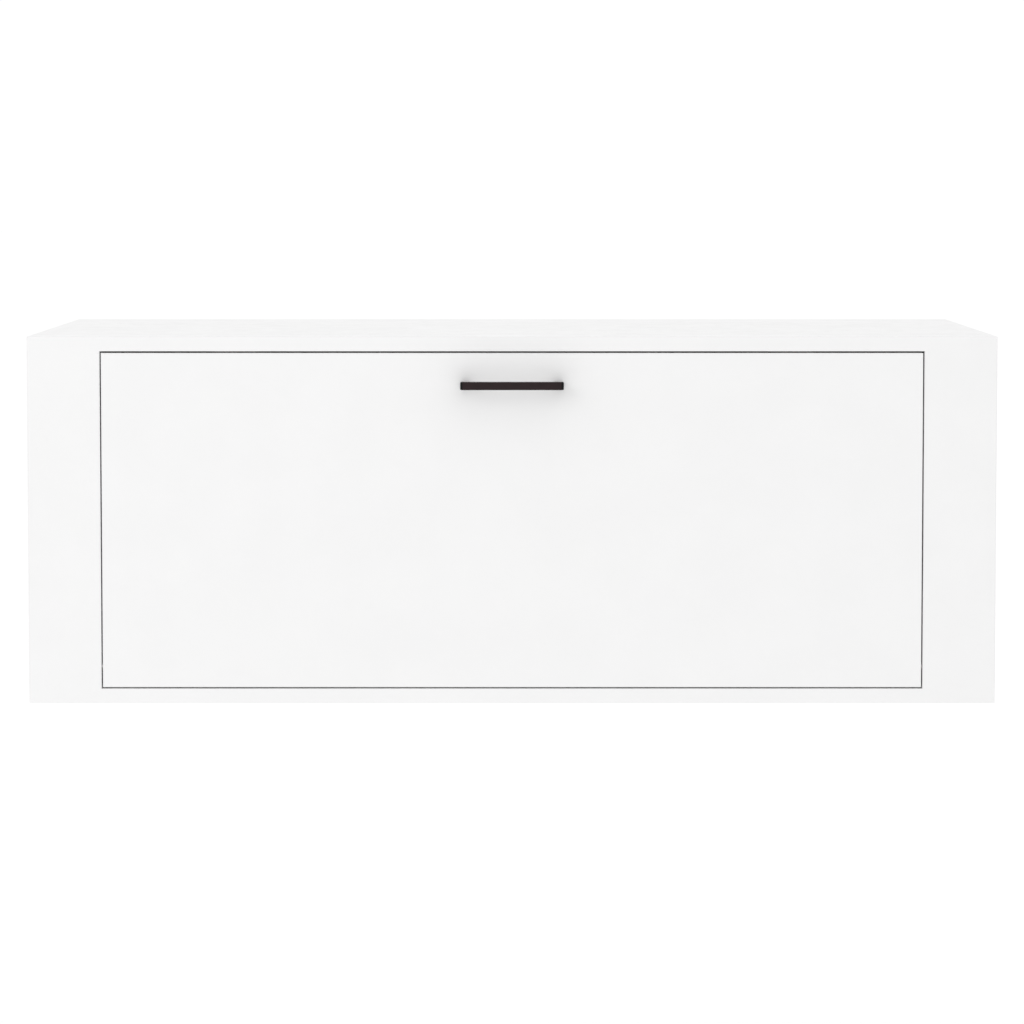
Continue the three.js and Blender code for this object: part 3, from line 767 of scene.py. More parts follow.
class BandLine(Effect):
    """Mask of the hairline where an edge band meets a broad face of a board."""

    title = "band_line"
    inputs = {
        "Vector": ("Vector", None),
        "Middle": ("Vector", None),
        "Half": ("Vector", None),
        "Broad": ("Float", 0.0),
        "Inset": ("Float", 0.8 * MM),
        "Width": ("Float", 0.12 * MM),
    }
    outputs = {"Line": "Float"}

    @classmethod
    def worked_out(cls, sheet: NodeSheet, given: Any) -> dict[str, Socket]:
        """The distance to the nearest edge is the middle one of the distances to the box's planes."""
        offset = sheet.vector("ABSOLUTE", sheet.vector("SUBTRACT", given["Vector"], given["Middle"]))
        depth = sheet.add("SeparateXYZ", {0: sheet.vector("SUBTRACT", given["Half"], offset)}).outputs
        pairs = [sheet.maths("MAXIMUM", depth[a], depth[b]) for a, b in ((0, 1), (1, 2), (0, 2))]
        nearest = sheet.maths("MINIMUM", sheet.maths("MINIMUM", pairs[0], pairs[1]), pairs[2])
        away = sheet.maths("ABSOLUTE", sheet.maths("SUBTRACT", nearest, given["Inset"]))
        share = sheet.maths("DIVIDE", away, given["Width"])
        line = sheet.remap(share, UNIT, UNIT[::-1])
        return {"Line": sheet.maths("MULTIPLY", line, given["Broad"])}


# ---- Finishes ----


@dataclass(frozen=True)
class Finish(ABC):
    """A surface finish. Its material is made once and shared by every piece that has it."""

    name: str
    slot: Slot | None
    colour: Colour
    roughness: float
    metallic: float = 0.0
    roughness_spread: Range = (-0.06, 0.06)
    grain_size: float = 0.5 * MM
    mottle_size: float = 40 * MM
    patch_size: float = 15 * MM
    relief_depth: float = 0.01 * MM

    def material(self) -> bpy.types.Material:
        """The finish's material, made when it is first asked for."""
        known = bpy.data.materials.get(self.name)
        if known is not None:
            return known
        material = bpy.data.materials.new(self.name)
        material.use_nodes = True
        sheet = NodeSheet(material.node_tree)
        sheet.tree.nodes.clear()
        colour = opaque(self.colour)
        plain = {"Base Color": colour, "Roughness": self.roughness, "Metallic": self.metallic}
        shader = sheet.add("BsdfPrincipled", plain)
        sheet.add("OutputMaterial", {"Surface": shader.outputs[0]})
        self.paint(sheet, shader, sheet.place())
        return material

    @abstractmethod
    def paint(self, sheet: NodeSheet, shader: bpy.types.Node, place: Socket) -> None:
        """Adds what changes over the surface: colour, roughness and relief.

        Args:
            sheet: the material's sheet.
            shader: its shader.
            place: the surface point, as a socket.
        """

    def tinted(self, factor: float) -> Colour:
        """The finish's colour, made lighter or darker by a factor."""
        red, green, blue = self.colour
        return (red * factor, green * factor, blue * factor)

    def texture(self, sheet: NodeSheet, place: Any) -> Any:
        """The outputs of the fine texture, at this finish's sizes."""
        sizes = {"Grain_Size": self.grain_size, "Mottle_Size": self.mottle_size}
        return FineTexture.placed(sheet, Vector=place, **sizes)

    @staticmethod
    def streaks(sheet: NodeSheet, place: Any, stretch: Triple, width: float) -> Any:
        """Streaks of this width, drawn out along each axis whose number is small."""
        return DrawnGrain.placed(sheet, Vector=place, Stretch=stretch, Streak_Width=width)["Streaks"]

    def marks(self, sheet: NodeSheet, place: Any) -> Any:
        """The masks of wear and dust, at this finish's patch size."""
        edge = sheet.attribute("edge")
        return WearAndDust.placed(sheet, Vector=place, Edge=edge, Patch_Size=self.patch_size)

    def rough(self, sheet: NodeSheet, value: Any, source: Range = UNIT) -> Socket:
        """The roughness where a value runs over its source range."""
        low, high = self.roughness_spread
        return sheet.remap(value, source, (self.roughness + low, self.roughness + high))

    def relief(self, sheet: NodeSheet, shader: bpy.types.Node, height: Any) -> None:
        """Gives the shader a bump as deep as the finish's relief where height goes from 0 to 1."""
        bump = sheet.add("Bump", {"Strength": 1.0, "Distance": self.relief_depth, "Height": height})
        sheet.feed(shader.inputs["Normal"], bump.outputs[0])


@dataclass(frozen=True)
class FacedBoard(Finish):
    """White melamine on chipboard, with white edge bands and a bare core where it is cut."""

    grain_size: float = 0.45 * MM
    relief_depth: float = 0.012 * MM
    mottle_size: float = 60 * MM
    tone_spread: float = 0.012
    dust_tone: float = 0.97
    band_inset: float = 0.8 * MM
    band_width: float = 0.14 * MM
    band_tone: float = 0.78
    band_sink: float = 2.0  # in depths of the relief
    core_light: Colour = (0.62, 0.44, 0.27)
    core_dark: Colour = (0.30, 0.18, 0.09)
    chip_size: float = 2.2 * MM
    chip_height: float = 8.0  # in depths of the relief

    def paint(self, sheet: NodeSheet, shader: bpy.types.Node, place: Socket) -> None:
        """Pearl texture, hairline of the bands, thin dust and the bare core."""
        texture = self.texture(sheet, place)
        line = BandLine.placed(
            sheet,
            Vector=place,
            Middle=sheet.attribute("middle", "Vector"),
            Half=sheet.attribute("half", "Vector"),
            Broad=sheet.attribute("broad"),
            Inset=self.band_inset,
            Width=self.band_width,
        )["Line"]
        raw = sheet.attribute("raw")
        tone = sheet.blend(texture["Mottle"], self.tinted(1 - self.tone_spread), self.colour)
        tone = sheet.blend(self.marks(sheet, place)["Dust"], tone, self.tinted(self.dust_tone))
        tone = sheet.blend(line, tone, self.tinted(self.band_tone))
        chips = sheet.add("TexVoronoi", {"Vector": place, "Scale": 1 / self.chip_size})
        chip_tone = sheet.add("SeparateColor", {0: chips.outputs["Color"]}).outputs[0]
        core = sheet.blend(chip_tone, self.core_dark, self.core_light)
        sheet.feed(shader.inputs["Base Color"], sheet.blend(raw, tone, core))
        roughness = sheet.maths("MAXIMUM", self.rough(sheet, texture["Mottle"]), raw)
        sheet.feed(shader.inputs["Roughness"], roughness)
        sunk = sheet.maths("SUBTRACT", texture["Grain"], sheet.maths("MULTIPLY", line, self.band_sink))
        chip = sheet.maths("MULTIPLY", chips.outputs["Distance"], self.chip_height)
        self.relief(sheet, shader, sheet.maths("ADD", sunk, sheet.maths("MULTIPLY", chip, raw)))


@dataclass(frozen=True)
class Hardboard(Finish):
    """Thin hardboard, white on the cabinet's side and bare fibre on the wall's side."""

    roughness_spread: Range = (-0.05, 0.05)
    mottle_size: float = 25 * MM
    relief_depth: float = 0.03 * MM
    middle: float = 0.0  # where the sheet's middle plane lies, along Y
    tone_spread: float = 0.015
    fibre_light: Colour = (0.36, 0.225, 0.135)
    fibre_dark: Colour = (0.20, 0.115, 0.065)
    fibre_width: float = 0.5 * MM
    fibre_squeeze: float = 0.15
    fibre_roughness: float = 0.8
    fibre_contrast: Range = (0.35, 0.85)
    fleck_share: float = 0.16

    def paint(self, sheet: NodeSheet, shader: bpy.types.Node, place: Socket) -> None:
        """Lacquer before the sheet's middle plane and tangled fibre behind it."""
        depth = sheet.add("SeparateXYZ", {0: place}).outputs["Y"]
        bare = sheet.maths("GREATER_THAN", depth, self.middle)
        texture = self.texture(sheet, place)
        level = self.streaks(sheet, place, (self.fibre_squeeze, 1.0, 1.0), self.fibre_width)
        upright = self.streaks(sheet, place, (1.0, 1.0, self.fibre_squeeze), self.fibre_width)
        tangle = sheet.maths("MULTIPLY", sheet.maths("ADD", level, upright), 0.5)
        flecks = sheet.maths("MULTIPLY", texture["Mottle"], self.fleck_share)
        share = sheet.remap(sheet.maths("ADD", tangle, flecks), self.fibre_contrast, UNIT)
        fibre = sheet.blend(share, self.fibre_dark, self.fibre_light)
        lacquer = sheet.blend(texture["Mottle"], self.tinted(1 - self.tone_spread), self.colour)
        sheet.feed(shader.inputs["Base Color"], sheet.blend(bare, lacquer, fibre))
        bare_roughness = sheet.maths("MULTIPLY", bare, self.fibre_roughness)
        roughness = sheet.maths("MAXIMUM", self.rough(sheet, texture["Mottle"]), bare_roughness)
        sheet.feed(shader.inputs["Roughness"], roughness)
        self.relief(sheet, shader, sheet.maths("ADD", tangle, texture["Grain"]))


@dataclass(frozen=True)
class PlatedSteel(Finish):
    """Bright zinc plating over rolled or turned steel."""

    roughness_spread: Range = (-0.1, 0.1)
    grain_size: float = 0.25 * MM
    mottle_size: float = 5 * MM
    patch_size: float = 5 * MM
    relief_depth: float = 0.004 * MM
    streak_squeeze: float = 0.04
    streak_share: float = 0.6
    streak_contrast: Range = (0.2, 0.8)
    bloom_share: float = 0.5
    bloom_colour: Colour = (0.66, 0.70, 0.78)
    worn_colour: Colour = (0.86, 0.86, 0.85)

    def paint(self, sheet: NodeSheet, shader: bpy.types.Node, place: Socket) -> None:
        """Rolled streaks, a faint blue bloom and brighter edges."""
        mottle = self.texture(sheet, place)["Mottle"]
        streaks = self.streaks(sheet, place, (1.0, self.streak_squeeze, 1.0), self.grain_size)
        bloom = sheet.maths("MULTIPLY", mottle, self.bloom_share)
        tone = sheet.blend(bloom, self.colour, self.bloom_colour)
        wear = self.marks(sheet, place)["Wear"]
        sheet.feed(shader.inputs["Base Color"], sheet.blend(wear, tone, self.worn_colour))
        streaky = sheet.maths("MULTIPLY", streaks, self.streak_share)
        cloudy = sheet.maths("MULTIPLY", mottle, 1 - self.streak_share)
        roughness = self.rough(sheet, sheet.maths("ADD", streaky, cloudy), self.streak_contrast)
        sheet.feed(shader.inputs["Roughness"], roughness)
        self.relief(sheet, shader, streaks)


@dataclass(frozen=True)
class GrainyFinish(Finish):
    """A skin with a fine even grain, stained or marked in patches and worn on its edges."""

    stain_share: float = 1.0
    wear_tone: float = 1.2
    grain_contrast: Range = (0.3, 0.7)

    def paint(self, sheet: NodeSheet, shader: bpy.types.Node, place: Socket) -> None:
        """Stains, rubbed edges and the grain."""
        texture = self.texture(sheet, place)
        stain = sheet.maths("MULTIPLY", texture["Mottle"], self.stain_share)
        tone = sheet.blend(stain, *self.tones())
        wear = self.marks(sheet, place)["Wear"]
        sheet.feed(shader.inputs["Base Color"], sheet.blend(wear, tone, self.tinted(self.wear_tone)))
        value = self.skin(sheet, place, texture["Grain"])
        sheet.feed(shader.inputs["Roughness"], self.rough(sheet, value, self.grain_contrast))
        self.relief(sheet, shader, value)

    @abstractmethod
    def tones(self) -> tuple[Colour, Colour]:
        """The colours where the mottle is low and where it is high."""

    def skin(self, sheet: NodeSheet, place: Any, grain: Any) -> Any:
        """What roughness and relief follow: the grain as it is."""
        return grain


@dataclass(frozen=True)
class CastZinc(GrainyFinish):
    """Dull die-cast zinc with a fine skin and darker flow marks."""

    roughness_spread: Range = (-0.08, 0.08)
    grain_size: float = 0.4 * MM
    mottle_size: float = 4 * MM
    patch_size: float = 4 * MM
    relief_depth: float = 0.015 * MM
    stain_share: float = 0.6
    stain_colour: Colour = (0.36, 0.37, 0.38)

    def tones(self) -> tuple[Colour, Colour]:
        """Clean skin and flow marks."""
        return self.colour, self.stain_colour


@dataclass(frozen=True)
class MouldedNylon(GrainyFinish):
    """White moulded nylon with a spark-eroded texture, and light coming through its skin."""

    grain_size: float = 0.3 * MM
    mottle_size: float = 8 * MM
    patch_size: float = 8 * MM
    relief_depth: float = 0.012 * MM
    wear_tone: float = 1.05
    flow_tone: float = 0.97
    glow: float = 0.12
    glow_reach: float = 1.5 * MM

    def paint(self, sheet: NodeSheet, shader: bpy.types.Node, place: Socket) -> None:
        """The grainy skin over a faint glow."""
        shader.inputs["Subsurface Weight"].default_value = self.glow
        shader.inputs["Subsurface Scale"].default_value = self.glow_reach
        super().paint(sheet, shader, place)

    def tones(self) -> tuple[Colour, Colour]:
        """Slight flow marks and clean nylon."""
        return self.tinted(self.flow_tone), self.colour


@dataclass(frozen=True)
class Ferrite(GrainyFinish):
    """Ground dark ferrite with chalky patches and chipped edges."""

    roughness_spread: Range = (-0.1, 0.1)
    grain_size: float = 1.2 * MM
    mottle_size: float = 4.8 * MM
    patch_size: float = 1.2 * MM
    relief_depth: float = 0.006 * MM
    chalk_colour: Colour = (0.09, 0.088, 0.085)
    wear_tone: float = 2.2
    grind_width: float = 0.15 * MM
    grind_squeeze: float = 0.05

    def tones(self) -> tuple[Colour, Colour]:
        """Ground ferrite and chalky patches."""
        return self.colour, self.chalk_colour

    def skin(self, sheet: NodeSheet, place: Any, grain: Any) -> Any:
        """Grinding lines in place of the grain."""
        return self.streaks(sheet, place, (self.grind_squeeze, 1.0, 1.0), self.grind_width)


@dataclass(frozen=True)
class BlackLacquer(Finish):
    """Black powder coat on the metal pull."""

    roughness_spread: Range = (-0.05, 0.07)
    grain_size: float = 0.7 * MM
    mottle_size: float = 9 * MM
    patch_size: float = 9 * MM
    relief_depth: float = 0.006 * MM
    specular: float = 0.15
    handled_tones: Range = (0.85, 1.1)
    wear_share: float = 0.4
    worn_colour: Colour = (0.04, 0.034, 0.034)
    # painted shade: the pull's ends are coloured darker, standing for rounded bends that reflect less
    # light
    end_colour: Colour = (0.002, 0.002, 0.002)
    end_reach: Range = UNIT  # distances from the middle where the painted shade of the ends starts and is full

    def paint(self, sheet: NodeSheet, shader: bpy.types.Node, place: Socket) -> None:
        """Orange peel, faint handling marks, slightly paler edges and painted shade on both ends."""
        shader.inputs["Specular IOR Level"].default_value = self.specular
        texture = self.texture(sheet, place)
        dark, light = self.handled_tones
        tone = sheet.blend(texture["Mottle"], self.tinted(dark), self.tinted(light))
        worn = sheet.maths("MULTIPLY", self.marks(sheet, place)["Wear"], self.wear_share)
        tone = sheet.blend(worn, tone, self.worn_colour)
        reach = sheet.maths("ABSOLUTE", sheet.add("SeparateXYZ", {0: place}).outputs["X"])
        # painted shade: the colour darkens towards both ends of the pull
        at_end = sheet.remap(reach, self.end_reach, UNIT)
        sheet.feed(shader.inputs["Base Color"], sheet.blend(at_end, tone, self.end_colour))
        sheet.feed(shader.inputs["Roughness"], self.rough(sheet, texture["Mottle"]))
        self.relief(sheet, shader, texture["Grain"])


@dataclass(frozen=True)
class PaleFloor(Finish):
    """The plain studio floor."""

    mottle_size: float = 2.0
    tone_spread: float = 0.005

    def paint(self, sheet: NodeSheet, shader: bpy.types.Node, place: Socket) -> None:
        """A barely uneven matt tone."""
        mottle = self.texture(sheet, place)["Mottle"]
        tone = sheet.blend(mottle, self.tinted(1 - self.tone_spread), self.colour)
        sheet.feed(shader.inputs["Base Color"], tone)


# ---- Pieces ----


def set_in_scene(name: str, data: Any) -> bpy.types.Object:
    """A new object of the scene with this mesh, lamp or camera."""
    thing = bpy.data.objects.new(name, data)
    bpy.context.scene.collection.objects.link(thing)
    return thing


@dataclass(frozen=True)
class Piece:
    """A finished piece: what it stands for, what it rides on and its finish."""

    name: str
    body: Body
    finish: Finish
    stands_for: tuple[str, ...] = ()

    def place(self, mesh: Mesh) -> bpy.types.Object:
        """Puts a mesh into the scene as this piece, dresses it and reports it.

        Args:
            mesh: the piece's mesh, in its place.

        Returns:
            The new object.
        """
        mesh.materials.append(self.finish.material())
        thing = set_in_scene(self.name, mesh)
        weighted = thing.modifiers.new("even_faces", "WEIGHTED_NORMAL")
        weighted.weight = FULL_WEIGHT
        weighted.keep_sharp = True
        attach(thing, self.body.value)
        if self.stands_for:
            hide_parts(*self.stands_for)
        faces = len(mesh.polygons)
        LOG.info("%s: %d faces, on %s, in %s", self.name, faces, self.body.value, self.finish.name)
        return thing


def standing_for(node: str, body: Body, finish: Finish) -> Piece:
    """The piece that stands for one CAD node, named after it."""
    return Piece(f"{node}_finished", body, finish, (node,))


@dataclass(frozen=True)
class CrossScrew:
    """A pan-head screw with a cross recess and a rolled thread."""

    head_radius: float = 3.2 * MM
    head_height: float = 1.3 * MM
    shank_radius: float = 1.6 * MM
    thread_depth: float = 0.35 * MM
    thread_pitch: float = 1.4 * MM
    thread_start: float = 0.6 * MM
    tip_length: float = 2.4 * MM
    recess_reach: float = 1.9 * MM
    recess_width: float = 0.42 * MM
    recess_depth: float = 0.9 * MM
    recess_softness: float = 0.22 * MM
    recess_fade: float = 0.6
    head_rings: int = 26
    rim_rings: int = 5
    rings_per_turn: int = 6
    tip_shape: tuple[Range, ...] = ((0.75, 0.55), (0.4, 0.15), (0.0, 0.0))  # of radius and tip
    sides: int = ROUND_SIDES

    def mesh(self, node: str, into: Array) -> Mesh:
        """The screw that stands for a node, driven in a direction.

        Down the screw the rings go from the head's middle to the tip. The head is a quarter
        ellipse, r = R sin b and depth = H (1 - cos b). The thread's radius falls by its depth
        times a triangle wave of depth / pitch + angle / turn.

        Args:
            node: the CAD node of the screw.
            into: the direction that its tip points in.

        Returns:
            The screw's mesh.
        """
        box = Box.of(node)
        length = 2 * abs(box.half @ into)
        seat = self.head_height + CLEARANCE
        b = np.linspace(0, QUARTER_TURN, self.head_rings)
        head = np.stack([self.head_radius * np.sin(b), seat * (1 - np.cos(b))], axis=-1)
        under = np.array([[self.shank_radius, seat], [self.shank_radius, seat + self.thread_start]])
        rise = self.thread_pitch / self.rings_per_turn
        depth = np.arange(seat + self.thread_start, length - self.tip_length, rise)
        thread = np.stack([np.full_like(depth, self.shank_radius), depth], axis=-1)[1:]
        tip = [0, length] + np.array(self.tip_shape) * [self.shank_radius, -self.tip_length]
        rings = np.concatenate([head, under, thread, tip])
        profile = np.repeat(rings[:, None], self.sides, axis=1)
        angle = np.arange(self.sides) * FULL_TURN / self.sides
        wave = np.abs(2 * np.mod(rings[:, 1:] / self.thread_pitch + angle / FULL_TURN, 1) - 1)
        threaded = np.zeros(len(rings))
        threaded[len(head) + len(under) : -1] = 1.0
        profile[..., 0] -= self.thread_depth * wave * threaded[:, None]
        in_head = np.arange(len(rings)) < len(head)
        profile[..., 1] += self.recess(profile[..., 0], angle) * in_head[:, None]
        edge = np.zeros(len(rings))
        edge[len(head) - 1 - self.rim_rings : len(head) - 1] = 1.0
        shell = Shell().add(turned_grid(profile, box.end(-into), into, self.sides), edge[:, None])
        return shell.mesh(node)

    def recess(self, radius: Array, angle: Array) -> Array:
        """How deep the cross recess is at points of the head.

        It is two bars at right angles, each with soft sides, that get shallower outwards.

        Args:
            radius: the points' distances from the axis.
            angle: their angles.

        Returns:
            The depths.
        """
        x = np.abs(radius * np.cos(angle))
        y = np.abs(radius * np.sin(angle))

        def bar(across: Array, along: Array) -> Array:
            """One bar of the cross, from 0 outside it to 1 inside."""
            side = np.clip((self.recess_width - across) / self.recess_softness + 1, 0, 1)
            end = np.clip((self.recess_reach - along) / self.recess_softness, 0, 1)
            return side * end

        taper = 1 - self.recess_fade * np.clip(radius / self.recess_reach, 0, 1)
        return self.recess_depth * np.maximum(bar(x, y), bar(y, x)) * taper


# ---- Sub-assemblies ----


@dataclass(frozen=True)
class Finishes:
    """Every finish of the desk."""

    board: FacedBoard = FacedBoard(
        "white_melamine", Slot.BOARD, (0.838, 0.837, 0.837), roughness=0.42
    )
    steel: PlatedSteel = PlatedSteel(
        "zinc_plated_steel", Slot.STEEL, (0.72, 0.73, 0.74), roughness=0.34, metallic=1.0
    )
    zinc: CastZinc = CastZinc(
        "die_cast_zinc", Slot.ZINC, (0.56, 0.57, 0.58), roughness=0.5, metallic=1.0
    )
    nylon: MouldedNylon = MouldedNylon(
        "moulded_nylon", Slot.NYLON, (0.80, 0.79, 0.75), roughness=0.46
    )
    ferrite: Ferrite = Ferrite("ground_ferrite", Slot.FERRITE, (0.045, 0.045, 0.05), roughness=0.55)
    floor: PaleFloor = PaleFloor("pale_floor", None, (0.985, 0.985, 0.985), roughness=0.85)

    @staticmethod
    def lacquer(reach: float, end: float, fade: float = 0.4 * MM) -> BlackLacquer:
        """The pull's finish, with painted shade on its ends.

        Args:
            reach: half of the pull's length.
            end: how far the painted shade of each end comes in.
            fade: how far the change of colour is spread.

        Returns:
            The finish.
        """
        return BlackLacquer(
            "black_powder_coat",
            Slot.LACQUER,
            (0.021, 0.0125, 0.0135),
            roughness=0.5,
            end_reach=(reach - end - fade, reach - end),
        )

    @staticmethod
    def hardboard(middle: float) -> Hardboard:
        """The back panel's finish, with the sheet's middle plane at this Y."""
        colour = (0.82, 0.815, 0.80)
        return Hardboard("back_hardboard", Slot.SHEET, colour, roughness=0.55, middle=middle)


@dataclass
class Carcass:
    """The fixed boards of the cabinet and its back panel."""

    finishes: Finishes
    easing: float = 0.2 * MM
    raw_rear: tuple[str, ...] = ("top_panel", "bottom_panel", "left_side_panel", "right_side_panel")
    level: tuple[str, ...] = ("top_panel", "bottom_panel", "desk_board", "shelf")
    rails: tuple[str, ...] = ("upper_hanging_rail", "lower_back_rail")
    upright: tuple[str, ...] = ("side_panel", "front_stile", "partition", "divider")
    butted: tuple[str, ...] = ("left_front_stile", "right_front_stile")
    beyond_ends: float = 5 * MM  # how far past a butted end, which has no band, its line would lie
    sheet: str = "back_panel"

    def build(self) -> None:
        """Makes every fixed board and dresses the back panel."""
        sided = [f"{side.word}_{name}" for side in Side for name in self.upright]
        for node in (*self.level, *self.rails, *sided):
            self.board(node)
        self.back_panel()

    def board(self, node: str) -> bpy.types.Object:
        """One faced board in place of its CAD node."""
        is_butted = node in self.butted
        mesh = eased_copy(node, self.easing, butted=Axis.Z if is_butted else None)
        unbanded = np.array([0.0, 0.0, self.beyond_ends * is_butted])
        mark_faces(mesh, Box.of(node).resized(-unbanded, unbanded), node in self.raw_rear)
        return standing_for(node, Body.CABINET, self.finishes.board).place(mesh)

    def back_panel(self) -> None:
        """Dresses the back panel, which keeps its CAD shape."""
        middle = Box.of(self.sheet).centre[Axis.Y.value]
        finish = self.finishes.hardboard(middle)
        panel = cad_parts[self.sheet]
        panel.data.materials.clear()
        panel.data.materials.append(finish.material())
        LOG.info("%s keeps its shape, in %s", self.sheet, finish.name)


@dataclass
class Flap:
    """The fall front itself."""

    finishes: Finishes
    easing: float = 0.25 * MM
    node: str = "fall_front"

    def build(self) -> None:
        """Makes the flap's board."""
        mesh = eased_copy(self.node, self.easing)
        mark_faces(mesh, Box.of(self.node), raw_rear=False)
        standing_for(self.node, Body.FLAP, self.finishes.board).place(mesh)


@dataclass
class Pull:
    """The bar pull: a grip between two legs, with its two screws from inside the flap."""

    finishes: Finishes
    leg: float = 10 * MM
    # how far the painted shade at each end of the pull comes in
    dark_end: float = 2.2 * MM
    foot_height: float = 5 * MM
    grip: float = 8 * MM
    corner: float = 2.5 * MM
    arris: float = 0.7 * MM
    leg_steps: int = 8
    corner_steps: int = 9
    grip_steps: int = 24
    arris_steps: int = 5
    node: str = "pull_handle"

    def build(self) -> None:
        """Makes the bar and its screws."""
        finish = self.finishes.lacquer(Box.of(self.node).half[Axis.X.value], self.dark_end)
        piece = standing_for(self.node, Body.FLAP, finish)
        piece.place(self.bar().mesh(self.node))
        kind = CrossScrew(
            head_radius=4.2 * MM,
            head_height=2.2 * MM,
            shank_radius=2.0 * MM,
            thread_depth=0.25 * MM,
            thread_pitch=0.7 * MM,
            thread_start=10 * MM,
            tip_length=0.8 * MM,
            recess_reach=2.6 * MM,
            recess_width=0.55 * MM,
            recess_depth=1.5 * MM,
        )
        for side in Side:
            node = f"{side.word}_pull_screw"
            screw = standing_for(node, Body.FLAP, self.finishes.steel)
            screw.place(kind.mesh(node, FORWARD))

    def outline(self, reach: float, front: float, back: float) -> Array:
        """One line of the pull seen from above: up a leg, along the grip and down the other leg.

        Args:
            reach: the leg's distance from the middle.
            front: where the grip lies, along Y.
            back: where the legs end, along Y.

        Returns:
            Its points, as count by 2, with quarter circles at the two corners.
        """
        turn = np.linspace(0, QUARTER_TURN, self.corner_steps)
        leg_y = np.linspace(back, front + self.corner, self.leg_steps, endpoint=False)
        leg_line = np.stack([np.full_like(leg_y, -reach), leg_y], axis=-1)
        bend = np.stack([-np.cos(turn), -np.sin(turn)], axis=-1) * self.corner
        bend += np.array([-reach + self.corner, front + self.corner])
        grip_x = np.linspace(-reach + self.corner, 0, self.grip_steps)[1:]
        grip_line = np.stack([grip_x, np.full_like(grip_x, front)], axis=-1)
        half = np.concatenate([leg_line, bend, grip_line])
        return np.concatenate([half, (half * [-1, 1])[-2::-1]])

    def bar(self) -> Shell:
        """The bar: a rounded rectangle carried between an inner and an outer outline.

        At each step the section's middle is halfway between the outlines and its width is the
        distance between them. Its height is the bar's on the grip, and falls evenly along each leg
        to the foot's. The two feet are closed flat.
        """
        box = Box.of(self.node)
        face = Box.of("fall_front").low[Axis.Y.value]
        reach = box.half[Axis.X.value]
        front = box.low[Axis.Y.value]
        outer = self.outline(reach, front, face)
        inner = self.outline(reach - self.leg, front + self.grip, face)
        middle = (outer + inner) / 2
        across = (outer - inner) / 2
        width = np.linalg.norm(across, axis=1, keepdims=True)
        across /= width
        signs, directions, edge = section_corners(self.arris_steps)
        side = signs[:, 0] * (width - self.arris) + directions[:, 0] * self.arris
        grip_middle = front + self.grip / 2
        way_down = np.clip((middle[:, 1] - grip_middle) / (face - grip_middle), 0, 1)
        full = box.half[Axis.Z.value]
        half_height = full + (self.foot_height / 2 - full) * way_down
        points = np.zeros((len(middle), len(signs), 3))
        points[..., :2] = middle[:, None] + across[:, None] * side[..., None]
        level = signs[:, 1] * (half_height[:, None] - self.arris)
        points[..., 2] = level + directions[:, 1] * self.arris
        feet = np.zeros((2,) + points.shape[1:])
        feet[..., :2] = middle[[0, -1], None]
        points = np.concatenate([feet[:1], points, feet[1:]])
        points += box.centre * [1, 0, 1]
        return Shell().add(points, edge)


@dataclass
class Pivot:
    """One of the flap's pivots: a steel pin in a flanged nylon bush."""

    finishes: Finishes
    side: Side
    pin_chamfer: float = 0.5 * MM
    bore_radius: float = 3.3 * MM
    barrel_radius: float = 5 * MM
    flange_thickness: float = 0.8 * MM
    flange_proud: float = 0.1 * MM  # kept thin, so that no white shows in the gap beside the flap
    bush_easing: float = 0.25 * MM

    def build(self) -> None:
        """Makes the pin and the bush."""
        inwards = -self.side.outward
        node = f"{self.side.word}_pivot_pin"
        box = Box.of(node)
        steps = ((box.half[Axis.Z.value], 2 * box.half[Axis.X.value]),)
        shell = turned(Shell(), steps, (box.end(-inwards), inwards), self.pin_chamfer)
        standing_for(node, Body.CABINET, self.finishes.steel).place(shell.mesh(node))
        self.bush(inwards)

    def bush(self, inwards: Array) -> None:
        """The bush: a closed ring of profile turned about the pin's axis."""
        node = f"{self.side.word}_pivot_bush"
        box = Box.of(node)
        flange_radius = box.half[Axis.Z.value]
        length = 2 * box.half[Axis.X.value]
        start = self.flange_thickness - self.flange_proud
        outline = np.array(
            [
                [self.bore_radius, length / 2],
                [self.bore_radius, start],
                [flange_radius, start],
                [flange_radius, self.flange_thickness],
                [self.barrel_radius, self.flange_thickness],
                [self.barrel_radius, length],
                [self.bore_radius, length],
                [self.bore_radius, length / 2],
            ]
        )
        profile, edge = eased(outline, self.bush_easing)
        grid = turned_grid(profile[:-1], box.end(-inwards), inwards, ROUND_SIDES)
        shell = Shell().add(grid, edge[:-1, None], wrap_rows=True)
        standing_for(node, Body.FLAP, self.finishes.nylon).place(shell.mesh(node))


